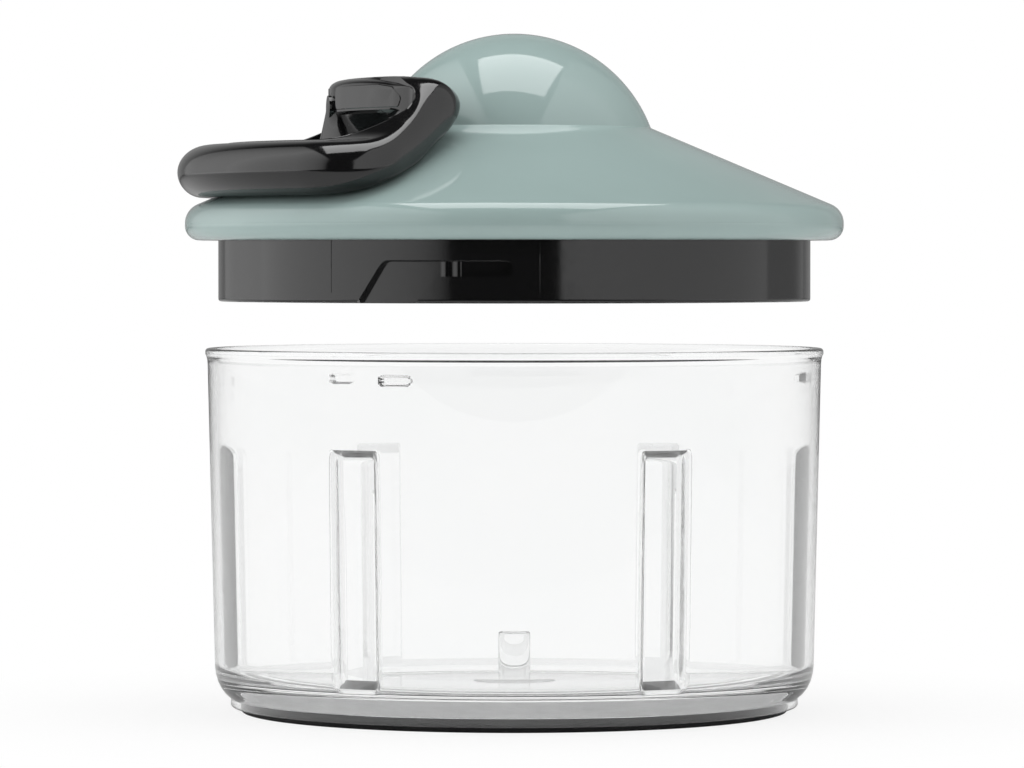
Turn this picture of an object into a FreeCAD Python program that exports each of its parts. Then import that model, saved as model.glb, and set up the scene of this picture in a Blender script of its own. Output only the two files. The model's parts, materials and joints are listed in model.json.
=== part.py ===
import FreeCAD, Part
import math
import os

# A pull-cord food chopper: a clear bowl, and above it the lid with its cord drive and loop handle.
# Millimetres. The origin is on the floor under the middle of the bowl, +Z is up, and the front is -Y.
# The lid is taken off and stands LID_HEIGHT above the floor. Heights of the lid's pieces count from
# the lower edge of its collar, and the handle's own frame has +X along the pull and +Y across it.

# Fits and gaps
RUNNING_FIT = 0.05        # radial, shaft in bore
SCREW_FIT = 0.05          # radial, screw shank in its hole
LIFT_GAP = 0.3            # between the lower edge of the lid's plug and the bowl, lid closed
SLOT_GAP = 0.35           # between a lug's tip and the slot's floor
SOFT_GAP = 0.2            # round the seal
AXIAL_PLAY = 0.3          # end play of whatever turns
SEAM = 0.1                # round an inlaid panel
SKIRT_GAP = 0.8           # between the bowl's lip and the shell's skirt

# Bowl
BOWL_HEIGHT = 77.7
BOWL_RIM_RADIUS = 65.7    # outside of the wall, at the rim
BOWL_TAPER = 1.6          # how much smaller the wall's radius is at the shoulder
BOWL_WALL = 1.8
LIP_PROUD = 0.4
LIP_DEPTH = 1.8
SHOULDER_HEIGHT = 9.8
SHOULDER_BULGE = 0.9      # how far the shoulder's curve stands out from its chord
FOOT_INSET = 3.4          # of the foot, from the wall at the shoulder
FOOT_HEIGHT = 3.0
FOOT_WIDTH = 7.2
FOOT_CLEARANCE = 1.2      # the clear foot stands this far off the floor
FLOOR_TOP = 7.0
FLOOR_THICKNESS = 2.0
FLOOR_FILLET = 3.5
RING_INSET = 2.1          # of the rubber ring, from the foot's outside
RING_WIDTH = 2.6
RING_HEIGHT = 3.8
RING_ROUND = 0.6

# Blade pin
PIN_RADIUS = 3.4
PIN_TOP = 18.4
PIN_ROUND = 1.6
PIN_BOSS_RADIUS = 8.8
PIN_BOSS_HEIGHT = 0.6

# Wall ribs
RIB_COUNT = 6
RIB_AZIMUTH = -31.0
RIB_WIDTH = 11.4
RIB_PROUD = 3.2
RIB_TOP = 57.6
RIB_ROUND = 2.6

# Bayonet, repeated round the rim
LUG_COUNT = 3
LUG_AZIMUTH = -22.3
LUG_LENGTH = 7.2
LUG_THICKNESS = 2.4
LUG_BELOW_RIM = 5.7
SLOT_DEPTH = 1.55
SLOT_PLAY = 0.3           # above and below a lug in its slot
MOUTH_LEFT = -30.6        # azimuths of the slot's outline
MOUTH_LEFT_TOP = -26.0
MOUTH_RIGHT = -18.6
MOUTH_RIGHT_TOP = -14.6
SLOT_END = -0.4
BUMP_FROM = -12.5
BUMP_TO = -8.9
BUMP_HEIGHT = 0.2
SLOT_ROUND = 1.3
MOUTH_ROUND = 3.0

# Lid
LID_HEIGHT = 87.7         # the collar's lower edge above the floor, lid taken off
SEATED_RIM = 12.7         # the bowl's rim above the collar's lower edge, lid closed
COLLAR_WALL = 3.0
COLLAR_ROUND = 2.0
PLATE_LOW = 6.0
PLATE_TOP = 8.4
FLANGE_LOW = 14.6
FLANGE_TOP = 16.6
SEAL_LOW = 13.0
SKIRT_LOW = 13.0
RIM_THICKNESS = 3.5       # of the skirt, at the lid's widest
RIM_ROUND = 3.2           # under the rim
RIM_TOP_ROUND = 4.4       # between the rim and the cone
RIM_TOP = 19.57           # where the cone would meet the rim's outside
CREASE_RADIUS = 28.5      # where the dome meets the cone
CREASE = 37.3
DOME_TOP = 57.2
SHELL_WALL = 2.2

# Lid screws, from below into posts of the shell
LID_SCREW_COUNT = 4
LID_SCREW_AZIMUTH = 35.0
LID_SCREW_INSET = 10.25   # of the screws, from the inside of the collar
LID_POST_RADIUS = 4.0
SCREW_RADIUS = 1.5
SCREW_HEAD_RADIUS = 3.0
SCREW_HEAD_HEIGHT = 2.0
LID_SCREW_REACH = 9.0     # into the post
SCREW_SLOT = 0.8

# Drive under the dome
AXLE_RADIUS = 3.0
AXLE_TOP = 55.0
AXLE_BOSS_RADIUS = 6.0
REEL_LOW = 33.0
REEL_TOP = 45.0
REEL_RADIUS = 20.0
REEL_FLANGE = 1.2
DRUM_RADIUS = 13.0
SLEEVE_RADIUS = 7.8
SLEEVE_LOW = 20.0
WINDING_RADIUS = 18.0
WINDING_GAP = 0.2
CUP_LOW = 21.0
CUP_FLOOR = 1.6
CUP_TOP = 31.0
CUP_RADIUS = 23.5
CUP_WALL = 2.0
CUP_BORE_GAP = 0.8        # round the reel's sleeve
COVER_THICKNESS = 0.8
CUP_EAR_COUNT = 3
CUP_EAR_REACH = 3.5       # of an ear's middle, beyond the cup's outside
CUP_EAR_RADIUS = 4.0
CUP_EAR_THICKNESS = 2.0
CUP_SCREW_REACH = 9.0     # into the post
SPRING_HEIGHT = 7.0
SPRING_THICKNESS = 0.5
SPRING_TURNS = 6
CARRIER_RADIUS = 9.0
CARRIER_LOW = 15.5
PAWL_THICKNESS = 3.0
PAWL_WIDTH = 3.2
PAWL_SPAN = 11.4          # the pawls' reach from the axis, folded in
CLUTCH_RADIUS = 16.0
CLUTCH_TOP = 19.5
CLUTCH_FLOOR_TOP = 13.5
CLUTCH_FLOOR_LOW = 11.5
TOOTH_COUNT = 12
TOOTH_ROOT = 13.4
TOOTH_TIP = 11.9
SPINDLE_RADIUS = 7.5
SPINDLE_LOW = 0.5
SPINDLE_NECK = 5.0
SPINDLE_FLANGE_RADIUS = 9.3
SPINDLE_FLANGE = 1.3
SOCKET_FLATS = 9.5        # hexagon across its flats
SOCKET_DEPTH = 8.0
SOCKET_WEB = 1.3
BUSH_RADIUS = 9.5
BUSH_LOW = 5.0
BUSH_TOP = 9.4
BUSH_HOUSING_RADIUS = 12.5
CLIP_THICKNESS = 0.8
CLIP_GROOVE = 0.8
CLIP_RADIUS = 9.6
CLIP_GAP_DEGREES = 50.0
SEAL_RING_THICKNESS = 1.4

# Cord
PULL_AZIMUTH = 190.0      # the way the cord comes out and the handle is pulled
CORD_RADIUS = 1.0
CORD_RISE = 3.7           # above the crease
CORD_BEND = 4.0           # the cord's curve over the eyelet's inner lip
CORD_BEND_INSET = 2.0     # of the bend, from the eyelet's inner end
CORD_BORE_GAP = 0.4
EYELET_RADIUS = 2.6
EYELET_PROUD = 1.75       # beyond the dome's outside, along the pull
EYELET_LENGTH = 4.6
EYELET_FLANGE_RADIUS = 3.1
EYELET_FLANGE = 1.4
EYELET_ROUND = 0.6

# Handle
LID_CLEARANCE = 0.5       # between the handle's underside and the cone
DOME_CLEARANCE = 1.0      # between the arch and the dome's foot
HANDLE_OVERHANG = 1.6     # of the grip, beyond the lid's rim
GRIP_WIDTH = 11.0
GRIP_LEVEL = 5.2          # width of the grip's level underside, over the rim
GRIP_HEIGHT = 11.7
ARCH_RISE = 13.9          # of the arch's top, above the grip's
ARCH_SHELF = 1.7          # the arch's top starts to slope down this far past its face
GRIP_SHELF = 1.75         # and the slope ends this far before the grip
ARCH_BLEND = 6.0
GRIP_BLEND = 8.0
UNDERSIDE_BLEND = 12.0
ARCH_HUG_RADIUS = 34.0    # curve of the arch's dome side
ARCH_THICKNESS = 10.0     # on the pull line
ARCH_FACE_CURVE = 56.2    # curve of the arch's face towards the grip
ARM_OFFSET = 16.5         # the arms' backs run at 45 degrees, this far from the axis across the pull
ARM_REACH = 32.0          # from the grip's outer edge to the inner side of an arm, across the pull
GRIP_END_ROUND = 15.0
ARCH_END_ROUND = 8.0
GAP_END_ROUND = 4.0
GAP_GRIP_ROUND = 8.0
HANDLE_ROUND = 3.7
HUB_TOP_HALF_WIDTH = 3.3
HUB_FOOT_HALF_WIDTH = 13.0
HUB_WAIST_RISE = 7.0      # of the spine's waist, above its foot
HUB_FOOT_PROUD = 2.6      # beyond the arch's face
HUB_WAIST_PROUD = 1.2
HUB_TOP_INSET = 1.0
PANEL_HEIGHT = 5.0
PANEL_EDGE = 1.6          # below the arch's top
PANEL_FROM = 4.6          # across the pull
PANEL_TO = 27.5
PANEL_THICKNESS = 1.2
PANEL_SUNK = 0.15
PANEL_ROUND = 1.8
KNOT_RADIUS = 2.3
KNOT_DEPTH = 4.1          # of the knot's seat, from the arch's dome side
KNOT_POCKET_RADIUS = 2.8
PLUG_LENGTH = 1.8
PLUG_PROUD = 0.8          # beyond the arch's face, inside the spine

NEAR = 0.01
FULL = 360.0

# Values that follow from the ones above
BOWL_LOW_RADIUS = BOWL_RIM_RADIUS - BOWL_TAPER
BOWL_INNER_RADIUS = BOWL_RIM_RADIUS - BOWL_WALL
PLUG_NARROWING = BOWL_TAPER * SEATED_RIM / (BOWL_HEIGHT - SHOULDER_HEIGHT)
FOOT_RADIUS = BOWL_LOW_RADIUS - FOOT_INSET
RING_OUTER_RADIUS = FOOT_RADIUS - RING_INSET
COLLAR_RADIUS = BOWL_INNER_RADIUS - PLUG_NARROWING - LIFT_GAP
COLLAR_INNER = COLLAR_RADIUS - COLLAR_WALL
SLOT_FLOOR_RADIUS = COLLAR_RADIUS - SLOT_DEPTH
LUG_TIP_RADIUS = SLOT_FLOOR_RADIUS + SLOT_GAP
LID_SCREW_CIRCLE = COLLAR_INNER - LID_SCREW_INSET
SKIRT_RADIUS = BOWL_RIM_RADIUS + LIP_PROUD + SKIRT_GAP
RIM_RADIUS = SKIRT_RADIUS + RIM_THICKNESS
CONE_FALL = (CREASE - RIM_TOP) / (RIM_RADIUS - CREASE_RADIUS)
DOME_RADIUS = (CREASE_RADIUS ** 2 + (DOME_TOP - CREASE) ** 2) / (2 * (DOME_TOP - CREASE))
DOME_CENTRE = DOME_TOP - DOME_RADIUS
REEL_BORE = AXLE_RADIUS + RUNNING_FIT
CUP_EAR_CIRCLE = CUP_RADIUS + CUP_EAR_REACH
CORD_BORE = CORD_RADIUS + CORD_BORE_GAP
CORD_HEIGHT = CREASE + CORD_RISE
EYELET_OUTER = math.sqrt(DOME_RADIUS ** 2 - (CORD_HEIGHT - DOME_CENTRE) ** 2) + EYELET_PROUD
EYELET_INNER = EYELET_OUTER - EYELET_LENGTH
CORD_BEND_AT = EYELET_INNER - CORD_BEND_INSET
HANDLE_RADIUS = RIM_RADIUS + HANDLE_OVERHANG
GRIP_INNER_RADIUS = HANDLE_RADIUS - GRIP_WIDTH
LEVEL_RADIUS = HANDLE_RADIUS - GRIP_LEVEL
HANDLE_LOW = CREASE - CONE_FALL * (LEVEL_RADIUS - CREASE_RADIUS) + LID_CLEARANCE
GRIP_TOP = HANDLE_LOW + GRIP_HEIGHT
ARCH_TOP = GRIP_TOP + ARCH_RISE
ARCH_APEX = CREASE_RADIUS + DOME_CLEARANCE
ARCH_FACE = ARCH_APEX + ARCH_THICKNESS
ARCH_EDGE_RADIUS = ARCH_FACE + ARCH_SHELF
GRIP_EDGE_RADIUS = GRIP_INNER_RADIUS - GRIP_SHELF
ARM_INNER = HANDLE_RADIUS - ARM_REACH
HUB_WAIST = GRIP_TOP + HUB_WAIST_RISE
PANEL_TOP = ARCH_TOP - PANEL_EDGE
PANEL_LOW = PANEL_TOP - PANEL_HEIGHT
KNOT_SEAT = ARCH_APEX + KNOT_DEPTH
PLUG_OUTER = ARCH_FACE + PLUG_PROUD
PLUG_INNER = PLUG_OUTER - PLUG_LENGTH


def vec(x, y, z):
    """Short name for a vector."""
    return FreeCAD.Vector(x, y, z)


def spun(shape, degrees):
    """A copy turned about the lid's axis."""
    copy = shape.copy()
    copy.rotate(vec(0, 0, 0), vec(0, 0, 1), degrees)
    return copy


def around(shape, count, first):
    """Copies of a shape modelled at the front, azimuth 0, spaced evenly from a first azimuth."""
    return [spun(shape, first + FULL / count * index) for index in range(count)]


def rod(radius, low, high, x=0.0, y=0.0):
    """Upright cylinder between two heights."""
    return Part.makeCylinder(radius, high - low, vec(x, y, low))


def along(radius, start, end, height):
    """Cylinder along +X at a height, between two places along X."""
    return Part.makeCylinder(radius, end - start, vec(start, 0, height), vec(1, 0, 0))


def tube(outer, inner, low, high):
    """Upright tube about the axis."""
    return rod(outer, low, high).cut(rod(inner, low, high))


def arc_step(radius, height, curve, middle, end):
    """Arc of a turned outline, about (radius, height), through one angle to another, in degrees."""
    steps = []
    for degrees in (middle, end):
        angle = math.radians(degrees)
        steps.append((radius + curve * math.cos(angle), height + curve * math.sin(angle)))
    return tuple(steps)


def outline_wire(steps, place):
    """Closed wire of lines and arcs. A step is a point, or an arc as (through, end)."""
    edges = []
    start = place(*steps[0])
    first = start
    for step in steps[1:]:
        if isinstance(step[0], tuple):
            end = place(*step[1])
            edges.append(Part.Arc(start, place(*step[0]), end).toShape())
        else:
            end = place(*step)
            edges.append(Part.makeLine(start, end))
        start = end
    if start.distanceToPoint(first) > NEAR:
        edges.append(Part.makeLine(start, first))
    return Part.Wire(edges)


def turned(steps):
    """Solid of revolution about Z from an outline of (radius, height) steps."""
    wire = outline_wire(steps, lambda radius, height: vec(radius, 0, height))
    return Part.Face(wire).revolve(vec(0, 0, 0), vec(0, 0, 1), FULL)


def slab(steps, low, high):
    """Prism between two heights over a plan outline of (x, y) steps."""
    wire = outline_wire(steps, lambda x, y: vec(x, y, low))
    return Part.Face(wire).extrude(vec(0, 0, high - low))


def round_circle(shape, radius, height, fillet):
    """Fillet the circular edges of one radius at one height."""
    edges = []
    for edge in shape.Edges:
        if not edge.Degenerated and isinstance(edge.Curve, Part.Circle):
            centre = edge.Curve.Center
            if abs(edge.Curve.Radius - radius) < NEAR and abs(centre.z - height) < NEAR:
                edges.append(edge)
    return shape.makeFillet(fillet, edges)


def round_upright(shape, corners):
    """Fillet upright edges of a prism. Corners are (x, y, fillet)."""
    for x, y, fillet in corners:
        edges = []
        for edge in shape.Edges:
            ends = [vertex.Point for vertex in edge.Vertexes]
            if all(math.hypot(end.x - x, end.y - y) < NEAR for end in ends):
                edges.append(edge)
        shape = shape.makeFillet(fillet, edges)
    return shape


def both_sides(shape):
    """A shape and its mirror image across the pull line."""
    return [shape, shape.mirror(vec(0, 0, 0), vec(0, 1, 0))]


def bowl_radius(height):
    """Outside of the bowl's tapered wall at a height."""
    share = (height - SHOULDER_HEIGHT) / (BOWL_HEIGHT - SHOULDER_HEIGHT)
    return BOWL_LOW_RADIUS + share * (BOWL_RIM_RADIUS - BOWL_LOW_RADIUS)


def cone_height(radius):
    """Top of the lid's cone at a radius."""
    return CREASE - CONE_FALL * (radius - CREASE_RADIUS)


def bowl():
    """Clear bowl with its foot, floor, ribs, bayonet lugs and blade pin."""
    floor_low = FLOOR_TOP - FLOOR_THICKNESS
    foot_inner = FOOT_RADIUS - FOOT_WIDTH
    ring_inner = RING_OUTER_RADIUS - RING_WIDTH
    lip_low = BOWL_HEIGHT - LIP_DEPTH
    lip_radius = BOWL_RIM_RADIUS + LIP_PROUD
    chord_radius = (FOOT_RADIUS + BOWL_LOW_RADIUS) / 2
    chord_height = (FOOT_HEIGHT + SHOULDER_HEIGHT) / 2
    shoulder = ((chord_radius + SHOULDER_BULGE, chord_height - SHOULDER_BULGE / 2),
                (BOWL_LOW_RADIUS, SHOULDER_HEIGHT))
    floor_radius = bowl_radius(FLOOR_TOP) - BOWL_WALL
    body = turned([
        (0, floor_low), (foot_inner, floor_low), (foot_inner, FOOT_CLEARANCE),
        (ring_inner, FOOT_CLEARANCE), (ring_inner, RING_HEIGHT),
        (RING_OUTER_RADIUS, RING_HEIGHT), (RING_OUTER_RADIUS, FOOT_CLEARANCE),
        (FOOT_RADIUS, FOOT_CLEARANCE), (FOOT_RADIUS, FOOT_HEIGHT), shoulder,
        (bowl_radius(lip_low), lip_low), (lip_radius, lip_low), (lip_radius, BOWL_HEIGHT),
        (BOWL_INNER_RADIUS, BOWL_HEIGHT), (floor_radius, FLOOR_TOP), (0, FLOOR_TOP)])
    body = round_circle(body, floor_radius, FLOOR_TOP, FLOOR_FILLET)
    body = body.fuse([blade_pin()] + around(rib(), RIB_COUNT, RIB_AZIMUTH)
                     + around(lug(), LUG_COUNT, LUG_AZIMUTH))
    return body.removeSplitter()


def blade_pin():
    """Pin in the middle of the bowl's floor, on its low round boss."""
    pin = rod(PIN_RADIUS, FLOOR_TOP - FLOOR_THICKNESS / 2, PIN_TOP)
    pin = round_circle(pin, PIN_RADIUS, PIN_TOP, PIN_ROUND)
    boss = rod(PIN_BOSS_RADIUS, FLOOR_TOP - FLOOR_THICKNESS / 2, FLOOR_TOP + PIN_BOSS_HEIGHT)
    return pin.fuse(boss)


def rib():
    """Rounded rib on the inside of the bowl's wall, at azimuth 0, leaning with the wall."""
    low = FLOOR_TOP - FLOOR_THICKNESS / 2
    face = bowl_radius(low) - BOWL_WALL - RIB_PROUD
    depth = RIB_PROUD + BOWL_WALL
    bar = Part.makeBox(RIB_WIDTH, depth, RIB_TOP - low, vec(-RIB_WIDTH / 2, -face - depth, low))
    edges = [edge for edge in bar.Edges if all(abs(end.Y + face) < NEAR for end in edge.Vertexes)
             and max(end.Z for end in edge.Vertexes) > low + NEAR]
    bar = bar.makeFillet(RIB_ROUND, edges)
    lean = math.atan2(BOWL_TAPER, BOWL_HEIGHT - SHOULDER_HEIGHT)
    bar.rotate(vec(0, -face, low), vec(1, 0, 0), math.degrees(lean))
    half_wall = BOWL_WALL / 2
    core = Part.makeCone(bowl_radius(low) - half_wall, BOWL_RIM_RADIUS - half_wall,
                         BOWL_HEIGHT - low, vec(0, 0, low))
    return bar.common(core)


def lug():
    """Bayonet lug on the inside of the rim, at azimuth 0: a bar with round ends."""
    middle = BOWL_HEIGHT - LUG_BELOW_RIM
    half = LUG_THICKNESS / 2
    reach = (LUG_LENGTH - LUG_THICKNESS) / 2
    bar = Part.makeBox(2 * reach, BOWL_RIM_RADIUS, LUG_THICKNESS,
                       vec(-reach, -BOWL_RIM_RADIUS, middle - half))
    ends = [Part.makeCylinder(half, BOWL_RIM_RADIUS, vec(side * reach, 0, middle), vec(0, -1, 0))
            for side in (-1, 1)]
    ring = tube(bowl_radius(middle) - BOWL_WALL / 2, LUG_TIP_RADIUS, middle - half, middle + half)
    return bar.fuse(ends).common(ring)


def base_ring():
    """Rubber ring that the bowl stands on, let into its foot."""
    inner = RING_OUTER_RADIUS - RING_WIDTH
    ring = tube(RING_OUTER_RADIUS, inner, 0, RING_HEIGHT)
    ring = round_circle(ring, RING_OUTER_RADIUS, 0, RING_ROUND)
    return round_circle(ring, inner, 0, RING_ROUND)


def lid_shell():
    """Domed shell: dome, cone, rolled rim and skirt, with the screw posts and the axle's boss."""
    rim_arc = arc_step(RIM_RADIUS - RIM_ROUND, SKIRT_LOW + RIM_ROUND, RIM_ROUND, -45, 0)
    dome_start = math.degrees(math.atan2(CREASE - DOME_CENTRE, CREASE_RADIUS))
    dome = arc_step(0, DOME_CENTRE, DOME_RADIUS, (dome_start + 90) / 2, 90)
    outer = turned([(0, SKIRT_LOW), (RIM_RADIUS - RIM_ROUND, SKIRT_LOW), rim_arc,
                    (RIM_RADIUS, RIM_TOP), (CREASE_RADIUS, CREASE), dome])
    outer = round_circle(outer, RIM_RADIUS, RIM_TOP, RIM_TOP_ROUND)
    post = rod(LID_POST_RADIUS, PLATE_TOP, CREASE, 0, -LID_SCREW_CIRCLE)
    posts = around(post, LID_SCREW_COUNT, LID_SCREW_AZIMUTH)
    boss = rod(AXLE_BOSS_RADIUS, REEL_TOP + AXIAL_PLAY, DOME_TOP)
    inside = outer.fuse(rod(SKIRT_RADIUS, PLATE_TOP, SKIRT_LOW))
    filled = [piece.common(inside) for piece in posts + [boss]]
    shell = outer.cut(shell_cavity()).fuse(filled)
    bores = [rod(AXLE_RADIUS, REEL_TOP, AXLE_TOP)]
    bore = rod(SCREW_RADIUS + SCREW_FIT, PLATE_TOP, PLATE_TOP + LID_SCREW_REACH, 0, -LID_SCREW_CIRCLE)
    bores += around(bore, LID_SCREW_COUNT, LID_SCREW_AZIMUTH)
    bores.append(spun(along(EYELET_RADIUS, 0, EYELET_OUTER, CORD_HEIGHT).fuse(
        along(EYELET_FLANGE_RADIUS, EYELET_OUTER - EYELET_FLANGE, HANDLE_RADIUS, CORD_HEIGHT)),
        PULL_AZIMUTH).cut(rod(CREASE_RADIUS - SHELL_WALL - EYELET_FLANGE_RADIUS, REEL_LOW, DOME_TOP)))
    return shell.cut(bores).removeSplitter()


def shell_cavity():
    """Hollow under the shell: one wall thickness inside the dome and the cone."""
    drop = SHELL_WALL / math.cos(math.atan(CONE_FALL))
    dome = Part.makeSphere(DOME_RADIUS - SHELL_WALL, vec(0, 0, DOME_CENTRE))
    skirt_top = cone_height(SKIRT_RADIUS) - drop
    throat = CREASE_RADIUS - SHELL_WALL
    cone = turned([(0, SKIRT_LOW), (SKIRT_RADIUS, SKIRT_LOW), (SKIRT_RADIUS, skirt_top),
                   (throat, cone_height(throat) - drop), (0, cone_height(throat) - drop)])
    above = rod(RIM_RADIUS, SKIRT_LOW, DOME_TOP)
    return cone.fuse(dome.common(above))


def lid_collar():
    """Black plug of the lid: bayonet wall, flange under the shell, and the floor for the drive."""
    corner = arc_step(COLLAR_RADIUS - COLLAR_ROUND, COLLAR_ROUND, COLLAR_ROUND, -45, 0)
    flange_radius = SKIRT_RADIUS - SOFT_GAP
    body = turned([
        (COLLAR_INNER, 0), (COLLAR_RADIUS - COLLAR_ROUND, 0), corner, (COLLAR_RADIUS, FLANGE_LOW),
        (flange_radius, FLANGE_LOW), (flange_radius, FLANGE_TOP), (COLLAR_INNER, FLANGE_TOP),
        (COLLAR_INNER, PLATE_TOP), (BUSH_HOUSING_RADIUS, PLATE_TOP), (BUSH_HOUSING_RADIUS, BUSH_TOP),
        (BUSH_RADIUS, BUSH_TOP), (BUSH_RADIUS, BUSH_LOW), (BUSH_HOUSING_RADIUS, BUSH_LOW),
        (BUSH_HOUSING_RADIUS, PLATE_LOW), (COLLAR_INNER, PLATE_LOW)])
    post = rod(CUP_EAR_RADIUS, PLATE_LOW, CUP_LOW, 0, -CUP_EAR_CIRCLE)
    body = body.fuse(around(post, CUP_EAR_COUNT, 0))
    cup_bore = rod(SCREW_RADIUS + SCREW_FIT, CUP_LOW - CUP_SCREW_REACH, CUP_LOW, 0, -CUP_EAR_CIRCLE)
    lid_bore = rod(SCREW_RADIUS + SCREW_FIT, 0, PLATE_TOP, 0, -LID_SCREW_CIRCLE)
    cuts = around(cup_bore, CUP_EAR_COUNT, 0) + around(lid_bore, LID_SCREW_COUNT, LID_SCREW_AZIMUTH)
    return body.cut(cuts + around(bayonet_slot(), LUG_COUNT, 0)).removeSplitter()


def bayonet_slot():
    """Cutter of one L-shaped slot in the collar: a slanted mouth, a level run and a click bump."""
    lug_middle = SEATED_RIM - LUG_BELOW_RIM
    top = lug_middle + LUG_THICKNESS / 2 + SLOT_PLAY
    low = lug_middle - LUG_THICKNESS / 2 - SLOT_PLAY
    centre = (MOUTH_LEFT + SLOT_END) / 2

    def across(azimuth):
        return COLLAR_RADIUS * math.sin(math.radians(azimuth - centre))

    left_low = (across(2 * MOUTH_LEFT - MOUTH_LEFT_TOP), -lug_middle)
    left_top = (across(MOUTH_LEFT_TOP) + (top - lug_middle) / 2, top)
    right_top = (across(MOUTH_RIGHT_TOP), low)
    steps = [left_low, left_top, (across(SLOT_END), top), (across(SLOT_END), low),
             (across(BUMP_TO) + BUMP_HEIGHT, low), (across(BUMP_TO), low + BUMP_HEIGHT),
             (across(BUMP_FROM), low + BUMP_HEIGHT), (across(BUMP_FROM) - BUMP_HEIGHT, low),
             right_top, (across(MOUTH_RIGHT), 0), (across(MOUTH_RIGHT), -lug_middle)]
    wire = outline_wire(steps, lambda x, z: vec(x, -COLLAR_INNER, z))
    block = Part.Face(wire).extrude(vec(0, -2 * COLLAR_WALL, 0))
    for corner, fillet in ((left_top, MOUTH_ROUND), (right_top, MOUTH_ROUND),
                           (steps[2], SLOT_ROUND), (steps[3], SLOT_ROUND)):
        edges = [edge for edge in block.Edges
                 if all(math.hypot(vertex.X - corner[0], vertex.Z - corner[1]) < NEAR
                        for vertex in edge.Vertexes)]
        block = block.makeFillet(fillet, edges)
    ring = tube(COLLAR_RADIUS + COLLAR_WALL, SLOT_FLOOR_RADIUS, -lug_middle, top)
    return spun(block.common(ring), centre)


def lid_seal():
    """Soft ring round the plug, under the flange, that the bowl's rim meets."""
    return tube(SKIRT_RADIUS - 2 * SOFT_GAP, COLLAR_RADIUS + SOFT_GAP, SEAL_LOW, FLANGE_LOW - SOFT_GAP)


def screw(reach, head_low, up):
    """Screw on its own axis: a slotted pan head with its shank going up or down from it."""
    if up:
        shank = rod(SCREW_RADIUS, head_low + SCREW_HEAD_HEIGHT, head_low + SCREW_HEAD_HEIGHT + reach)
        rounded = head_low
        slot_low = head_low
    else:
        shank = rod(SCREW_RADIUS, head_low - reach, head_low)
        rounded = head_low + SCREW_HEAD_HEIGHT
        slot_low = head_low + SCREW_HEAD_HEIGHT - SCREW_SLOT
    head = rod(SCREW_HEAD_RADIUS, head_low, head_low + SCREW_HEAD_HEIGHT)
    head = round_circle(head, SCREW_HEAD_RADIUS, rounded, SCREW_SLOT)
    slot = Part.makeBox(2 * SCREW_HEAD_RADIUS, SCREW_SLOT, SCREW_SLOT,
                        vec(-SCREW_HEAD_RADIUS, -SCREW_SLOT / 2, slot_low))
    return head.cut(slot).fuse(shank).removeSplitter()


def lid_screws():
    """Screws from below, through the collar's floor into the shell's posts."""
    one = screw(PLATE_TOP - PLATE_LOW + LID_SCREW_REACH, PLATE_LOW - SCREW_HEAD_HEIGHT, True)
    one.translate(vec(0, -LID_SCREW_CIRCLE, 0))
    return Part.makeCompound(around(one, LID_SCREW_COUNT, LID_SCREW_AZIMUTH))


def cup_screws():
    """Screws that hold the spring cup's ears on the collar's posts."""
    one = screw(CUP_EAR_THICKNESS + CUP_SCREW_REACH, CUP_LOW + CUP_EAR_THICKNESS, False)
    one.translate(vec(0, -CUP_EAR_CIRCLE, 0))
    return Part.makeCompound(around(one, CUP_EAR_COUNT, 0))


def reel_axle():
    """Steel pin from the dome's boss down into the spindle's top."""
    return rod(AXLE_RADIUS, SPINDLE_LOW + SOCKET_DEPTH + SOCKET_WEB + AXIAL_PLAY, AXLE_TOP)


def reel():
    """Cord drum with two flanges and the long sleeve that the spring and the pawls sit on."""
    upper = REEL_TOP - REEL_FLANGE
    lower = REEL_LOW + REEL_FLANGE
    return turned([(REEL_BORE, SLEEVE_LOW), (SLEEVE_RADIUS, SLEEVE_LOW), (SLEEVE_RADIUS, REEL_LOW),
                   (REEL_RADIUS, REEL_LOW), (REEL_RADIUS, lower), (DRUM_RADIUS, lower),
                   (DRUM_RADIUS, upper), (REEL_RADIUS, upper), (REEL_RADIUS, REEL_TOP),
                   (REEL_BORE, REEL_TOP)])


def cord_winding():
    """The cord wound on the drum, as one body."""
    return tube(WINDING_RADIUS, DRUM_RADIUS, REEL_LOW + REEL_FLANGE + WINDING_GAP,
                REEL_TOP - REEL_FLANGE - WINDING_GAP)


def spring_cup():
    """Fixed cup round the recoil spring, on three ears."""
    floor_top = CUP_LOW + CUP_FLOOR
    bore = SLEEVE_RADIUS + CUP_BORE_GAP
    inner = CUP_RADIUS - CUP_WALL
    cup = turned([(bore, CUP_LOW), (CUP_RADIUS, CUP_LOW), (CUP_RADIUS, CUP_TOP), (inner, CUP_TOP),
                  (inner, floor_top), (bore, floor_top)])
    ear = rod(CUP_EAR_RADIUS, CUP_LOW, CUP_LOW + CUP_EAR_THICKNESS, 0, -CUP_EAR_CIRCLE)
    inside = rod(inner, CUP_LOW, CUP_TOP)
    cup = cup.fuse([piece.cut(inside) for piece in around(ear, CUP_EAR_COUNT, 0)])
    hole = rod(SCREW_RADIUS + SCREW_FIT, CUP_LOW, CUP_LOW + CUP_EAR_THICKNESS, 0, -CUP_EAR_CIRCLE)
    heads = rod(SCREW_HEAD_RADIUS + SOFT_GAP, CUP_LOW + CUP_EAR_THICKNESS, CUP_TOP, 0, -CUP_EAR_CIRCLE)
    return cup.cut(around(hole, CUP_EAR_COUNT, 0) + around(heads, CUP_EAR_COUNT, 0)).removeSplitter()


def spring_cover():
    """Thin disc that closes the spring cup."""
    return tube(CUP_RADIUS, SLEEVE_RADIUS + CUP_BORE_GAP, CUP_TOP, CUP_TOP + COVER_THICKNESS)


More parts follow.
